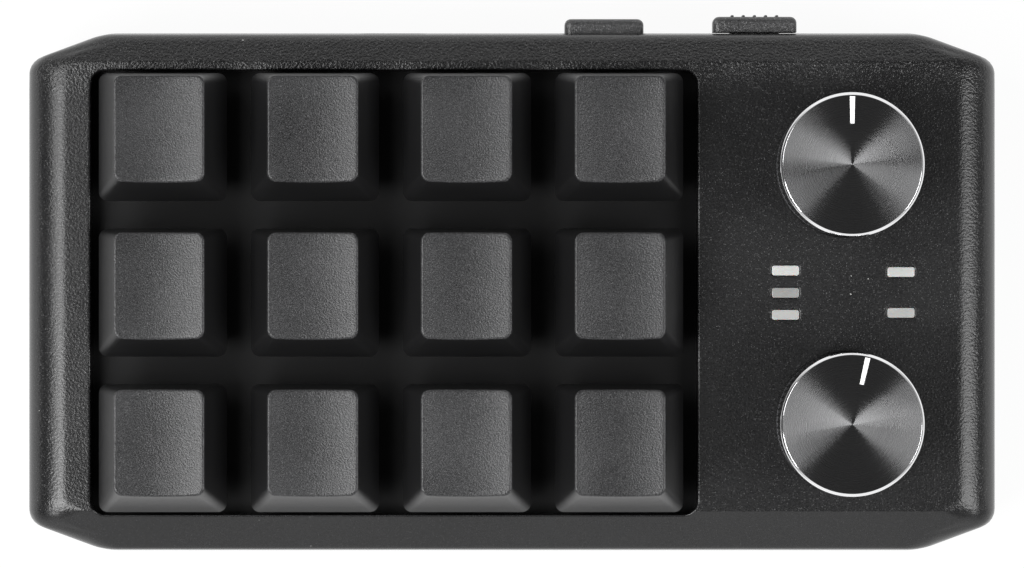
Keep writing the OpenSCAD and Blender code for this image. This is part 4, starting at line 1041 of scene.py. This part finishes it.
# green board: faint glass weave under the mask, thin tracks raised a little
def boardMaterial():
    material, tree, shader = newMaterial("boardGreen")
    vector = objectPlace(tree)
    waves = addNode(tree, "TexWave", Vector=vector, Scale=board["weaveScale"], Distortion=1.0)
    width = board["trackWidth"]
    bricks = addNode(tree, "TexBrick", Vector=vector, Scale=board["trackScale"], Mortar_Size=width)
    weave = waves.outputs["Fac"]
    track = ramp(tree, bricks.outputs["Fac"], 0.0, 1.0)
    height = mathNode(tree, "MULTIPLY_ADD", weave, board["weaveHeight"], track)
    feedNamed(
        tree, shader, Base_Color=mixColours(tree, track, board["mask"], board["track"]),
        Normal=bumpNode(tree, height, board["height"]),
        Roughness=ramp(tree, weave, 0.0, 1.0, *board["rough"]))
    return material


milk = {
    "dull": (0.42, 0.42, 0.41), "pale": (0.51, 0.51, 0.5), "frontRow": (0.385, 0.385, 0.376),
    "dim": (0.245, 0.245, 0.24), "frontRowY": -2.0, "dimReach": 2.3, "grain": 1500.0, "height": 0.003,
}


# milky window: the front row is duller than the rear one, and the middle one of the left column is dim
def windowMaterial():
    material, tree, shader = newMaterial("windowMilk")
    vector = objectPlace(tree)
    look = useGroup(tree, mouldedGrain, vector, Grain_Scale=milk["grain"])
    cloud = ramp(tree, look["Drift"], 0.3, 0.7)
    colour = mixColours(tree, cloud, milk["dull"], milk["pale"])
    y = addNode(tree, "SeparateXYZ", vector).outputs["Y"]
    inFrontRow = mathNode(tree, "LESS_THAN", y, milk["frontRowY"] * mm)
    colour = mixColours(tree, inFrontRow, colour, milk["frontRow"])
    dimPlace = [v * mm for v in (*windows["places"][1], case["deck"])]
    away = vectorNode(tree, "DISTANCE", "Value", vector, dimPlace)
    inDimOne = mathNode(tree, "LESS_THAN", away, milk["dimReach"] * mm)
    feedNamed(
        tree, shader, Subsurface_Weight=0.15, Subsurface_Scale=1.0 * mm,
        Base_Color=mixColours(tree, inDimOne, colour, milk["dim"]),
        Roughness=mathNode(tree, "MULTIPLY_ADD", cloud, 0.08, 0.26),
        Normal=bumpNode(tree, look["Height"], milk["height"]))
    return material


knobFinishes = {
    "knobTop": {
        "dark": (0.125, 0.125, 0.127), "pale": (0.15, 0.15, 0.152), "rough": 0.24, "ringGloss": 0.06,
        "marks": "ring", "height": 0.0035},
    "knobChamfer": {
        "dark": (0.86, 0.86, 0.87), "pale": (0.93, 0.93, 0.94), "rough": 0.08, "ringGloss": 0.06,
        "marks": "ring", "height": 0.002},
    "knobSide": {
        "dark": (0.022, 0.022, 0.023), "pale": (0.032, 0.032, 0.033), "rough": 0.3, "ringGloss": 0.1,
        "marks": "cloud", "height": 0.003},
}


# anodised knob metal: rings round the knob's own axis, and on top a spun gloss that follows them
def knobMaterials(place):
    made = []
    for name, given in knobFinishes.items():
        material, tree, shader = newMaterial(name)
        vector = objectPlace(tree)
        back = [-v * mm for v in (*place, 0)]
        centred = addNode(tree, "Mapping", Vector=vector, Location=back).outputs[0]
        flat = vectorNode(tree, "MULTIPLY", "Vector", centred, (1, 1, 0))
        radius = vectorNode(tree, "LENGTH", "Value", flat)
        ring = noiseNode(tree, addNode(tree, "CombineXYZ", radius).outputs[0], 7000.0, 2.0, 0.6)
        cloud = noiseNode(tree, vector, 200.0)
        marks = {"ring": ring, "cloud": cloud}[given["marks"]]
        feedNamed(
            tree, shader, Base_Color=mixColours(tree, cloud, given["dark"], given["pale"]), Metallic=1.0,
            Roughness=mathNode(tree, "MULTIPLY_ADD", ring, given["ringGloss"], given["rough"]),
            Normal=bumpNode(tree, marks, given["height"]))
        if name == "knobTop":
            toWorld = tree.nodes.new("ShaderNodeVectorTransform")
            toWorld.vector_type, toWorld.convert_from, toWorld.convert_to = "VECTOR", "OBJECT", "WORLD"
            feed(tree, toWorld.inputs[0], flat)
            feedNamed(tree, shader, Tangent=toWorld.outputs[0], Anisotropic=1.0)
        made.append(material)
    return made


knobMetals = [knobMaterials(place) for place in knobs["places"]]
finishes = {name: plastic(name, **given) for name, given in plastics.items()}
finishes.update({name: metal(name, **given) for name, given in metals.items()})
finishes.update(boardGreen=boardMaterial(), windowMilk=windowMaterial(), knobTop=knobMetals[0][0])
print("materials ready")


# openings in the rear wall, so that the controls and the inlet stand in real holes
openings = {
    "blocks": [
        {"x": 13.05, "z": 15.9, "w": 11.8, "h": 4.8, "r": 0.9},
        {"x": 35.4, "z": 15.2, "w": 9.6, "h": 3.0, "r": 0.6},
        {"x": -17.0, "z": 14.98, "w": 9.64, "h": 3.86, "r": 1.88},
    ],
    "fromY": 34.3, "toY": 38.5,
}


# takes rounded blocks along Y away from the piece's mesh and keeps only the result
def cutOpenings(piece):
    tool = newSkin()
    for block in openings["blocks"]:
        loops = roundedRows([block["w"]] * 2, block["h"], block["r"], 10, 4)
        y = np.broadcast_to([[openings["fromY"]], [openings["toY"]]], loops[:, 0].shape)
        rows = np.stack([block["x"] - loops[:, 0], y, block["z"] + loops[:, 1]], -1)
        addRows(tool, rows, startPole=True, endPole=True)
    cutter = meshObject("openingTool", tool)
    modifier = piece.modifiers.new("openings", "BOOLEAN")
    modifier.operation, modifier.solver, modifier.object = "DIFFERENCE", "EXACT", cutter
    cut = bpy.data.meshes.new_from_object(piece.evaluated_get(bpy.context.evaluated_depsgraph_get()))
    piece.modifiers.remove(modifier)
    piece.data.clear_geometry()
    work = bmesh.new()
    work.from_mesh(cut)
    work.to_mesh(piece.data)
    work.free()
    piece.data.set_sharp_from_angle(angle=math.radians(shellSharpAngle))
    bpy.data.meshes.remove(cutter.data)  # and the cutter with it
    bpy.data.meshes.remove(cut)


topShell = makePiece("topShell", upperShell(), "case", ["top_case"], [finishes["caseBlack"]])
makePiece("bottomShell", lowerShell(), "case", ["bottom_case"], [finishes["caseBlack"]])
cutOpenings(topShell)
print("case shells in place")

cap = keycap()
# the skirt finish carries painted shade, the top finish the cap's lighter tone
capFinishes = [finishes["keySkirtPaintedShade"], finishes["keyTop"]]
for row in range(keys["rows"]):
    for column in range(keys["columns"]):
        number = row * keys["columns"] + column + 1
        x = keys["x"] + (column - (keys["columns"] - 1) / 2) * keys["pitchX"]
        y = keys["y"] + ((keys["rows"] - 1) / 2 - row) * keys["pitchY"]
        own = dict(cap, points=[p + (x, y, keys["z"]) for p in cap["points"]])
        makePiece(f"keycap{number}", own, f"key_{number}", [f"key_cap_{number}"], capFinishes)
print("keycaps in place")

white, milky, black = [[finishes[name]] for name in ("pointerWhite", "windowMilk", "controlBlack")]
for name, place, turn, metalSet in zip(("rear", "front"), knobs["places"], knobs["turns"], knobMetals):
    body = f"{name}_turn"
    turned, pointer = placed(knobBody(), place, turn), placed(knobPointer(), place, turn)
    makePiece(f"{name}Knob", turned, body, [f"{name}_knob"], metalSet, 25)
    makePiece(f"{name}KnobPointer", pointer, body, [f"{name}_pointer"], white)
makePiece("indicatorWindows", windowPieces(), "case", ["indicator_windows"], milky)
makePiece("rearButton", buttonPiece(), "button", ["rear_button"], black, 50)
makePiece("slideCap", sliderPiece(), "slider", ["slide_cap"], black, 50)
print("controls in place")

slotFinishes = {
    "mat_rubber": "matRubber", "screw_steel": "screwBlack", "plate_steel": "plateBlack",
    "board_laminate": "boardGreen", "chip_plastic": "epoxyBlack", "can_steel": "tinnedCan",
    "cell_film": "cellFilm", "plug_plastic": "ivoryPlastic", "lead_jacket": "leadRed",
    "socket_steel": "socketSteel", "housing_plastic": "housingBlack", "contact_brass": "contactBrass",
    "spring_steel": "springSteel", "encoder_plastic": "encoderGreen", "cover_steel": "coverSteel",
    "shaft_metal": "shaftMetal", "led_body": "ledBody", "stem_plastic": "stemBlack",
    "case_plastic": "caseBlack", "key_plastic": "keySkirtPaintedShade", "control_plastic": "controlBlack",
    "knob_metal": "knobTop", "pointer_white": "pointerWhite", "window_plastic": "windowMilk",
}
for part in frame["record"]["subparts"]:
    node = frame["nodes"][part["node"]]
    node.data.materials.clear()
    node.data.materials.append(finishes[slotFinishes[part["material_slot"]]])
print("carried-over nodes finished")


# 1 where a ray of one of these kinds looks, else 0
def seenBy(tree, *kinds):
    path = addNode(tree, "LightPath").outputs
    seen = path[kinds[0]]
    for kind in kinds[1:]:
        seen = mathNode(tree, "MAXIMUM", seen, path[kind])
    return seen


# the room: pale low walls in front and behind, dimmer at the ends, dark above
sky = {
    "front": 1.0, "rear": 1.0, "left": 0.08, "right": 0.3, "overhead": 0.12, "turn": 0.3,
    "frontFade": 0.5, "rearFade": 0.36, "fadeWidth": 0.14, "whiteTo": -0.02, "whiteFade": 0.08,
}


# tone of the room = face tone + ends share times (end tone - face tone), with the overhead tone higher up
def skyMaterial():
    world = bpy.data.worlds.new("studio")
    bpy.context.scene.world = world
    world.use_nodes = True
    tree = world.node_tree
    tree.nodes.clear()
    x, y, z = addNode(tree, "SeparateXYZ", addNode(tree, "TexCoord").outputs["Generated"]).outputs
    acrossX, acrossY = mathNode(tree, "MULTIPLY", x, x), mathNode(tree, "MULTIPLY", y, y)
    level = mathNode(tree, "ADD", mathNode(tree, "ADD", acrossX, acrossY), 0.001)
    ends = ramp(tree, mathNode(tree, "DIVIDE", acrossX, level), 0.25, 0.75)
    endTone = ramp(tree, x, -sky["turn"], sky["turn"], sky["left"], sky["right"])
    faceTone = ramp(tree, y, -sky["turn"], sky["turn"], sky["front"], sky["rear"])
    edge = ramp(tree, y, -sky["turn"], sky["turn"], sky["frontFade"], sky["rearFade"])
    tone = mathNode(tree, "MULTIPLY_ADD", ends, mathNode(tree, "SUBTRACT", endTone, faceTone), faceTone)
    fade = ramp(tree, mathNode(tree, "SUBTRACT", z, edge), 0.0, sky["fadeWidth"], 1.0, 0.0)
    lift = mathNode(tree, "SUBTRACT", tone, sky["overhead"])
    tone = mathNode(tree, "MULTIPLY_ADD", lift, fade, sky["overhead"])
    grey = addNode(tree, "CombineColor", tone, tone, tone)
    low = ramp(tree, z, sky["whiteTo"], sky["whiteTo"] + sky["whiteFade"], 1.0, 0.0)
    mirrored = mathNode(tree, "MULTIPLY", seenBy(tree, "Is Glossy Ray", "Is Transmission Ray"), low)
    seen = mathNode(tree, "MAXIMUM", seenBy(tree, "Is Camera Ray"), mirrored)
    shade = addNode(tree, "Background", grey.outputs[0])
    white = addNode(tree, "Background", (1, 1, 1))
    mix = addNode(tree, "MixShader", seen, shade.outputs[0], white.outputs[0])
    addNode(tree, "OutputWorld", mix.outputs[0])


ground = {"half": 0.8, "cells": 4, "drop": 0.00002, "tone": (0.95, 0.95, 0.95), "glow": 0.93}


# pale floor: white where it is seen straight or mirrored, with a trace of its shaded tone
def floorPiece():
    mesh = bpy.data.meshes.new("floor")
    count = ground["cells"] + 1
    gridX, gridY = np.meshgrid(*[np.linspace(-ground["half"], ground["half"], count)] * 2)
    points = np.column_stack([gridX.ravel(), gridY.ravel(), np.full(count ** 2, -ground["drop"])])
    cell = np.arange(count ** 2).reshape(count, count)
    faces = np.stack([cell[:-1, :-1], cell[:-1, 1:], cell[1:, 1:], cell[1:, :-1]], -1).reshape(-1, 4)
    mesh.from_pydata(points.tolist(), [], faces.tolist())
    floor = bpy.data.objects.new("floor", mesh)
    bpy.context.scene.collection.objects.link(floor)
    material = bpy.data.materials.new("paleFloor")
    material.use_nodes = True
    tree = material.node_tree
    tree.nodes.clear()
    seen = seenBy(tree, "Is Camera Ray", "Is Glossy Ray", "Is Transmission Ray")
    diffuse, glow = addNode(tree, "BsdfDiffuse", ground["tone"]), addNode(tree, "Emission")
    glowShare = mathNode(tree, "MULTIPLY", seen, ground["glow"])
    mix = addNode(tree, "MixShader", glowShare, diffuse.outputs[0], glow.outputs[0])
    addNode(tree, "OutputMaterial", mix.outputs[0])
    mesh.materials.append(material)


lamps = {
    "rearLeft": {"azimuth": 157, "tilt": 38, "w": 36, "h": 28, "radiance": 4.4},
    "right": {"azimuth": 343, "tilt": 45, "w": 38, "h": 26, "radiance": 6.4},
    "frontLeft": {"azimuth": 210, "tilt": 38, "w": 36, "h": 26, "radiance": 10.5},
}
lampDistance = 0.6
lampAim = (0, 0, 0.02)


# one area lamp: place = distance times (sin t cos a, sin t sin a, cos t), energy = radiance times pi area
def softbox(name, lamp):
    azimuth, tilt = math.radians(lamp["azimuth"]), math.radians(lamp["tilt"])
    aside = math.sin(tilt)
    toLamp = np.array([aside * math.cos(azimuth), aside * math.sin(azimuth), math.cos(tilt)])
    w, h = [2 * lampDistance * math.tan(math.radians(lamp[k] / 2)) for k in ("w", "h")]
    light = bpy.data.lights.new(name, "AREA")
    light.shape = "RECTANGLE"
    light.size, light.size_y = w, h
    light.energy = lamp["radiance"] * math.pi * w * h
    lampObject = bpy.data.objects.new(name, light)
    lampObject.location = toLamp * lampDistance + lampAim
    lampObject.rotation_euler = (0, tilt, azimuth)
    bpy.context.scene.collection.objects.link(lampObject)


camera = {"place": (0.0, 0.0011, 0.824), "lens": 200.0, "sensor": 36.0, "clip": (0.01, 20)}


# the camera looks straight down
def placeCamera():
    data = bpy.data.cameras.new("camera")
    data.lens, data.sensor_width = camera["lens"], camera["sensor"]
    data.clip_start, data.clip_end = camera["clip"]
    view = bpy.data.objects.new("camera", data)
    view.location = camera["place"]
    bpy.context.scene.collection.objects.link(view)
    bpy.context.scene.camera = view


skyMaterial()
floorPiece()
for name, lamp in lamps.items():
    softbox(name + "Softbox", lamp)
placeCamera()
bpy.context.scene.view_settings.view_transform = "Standard"
print("floor, lights and camera ready")
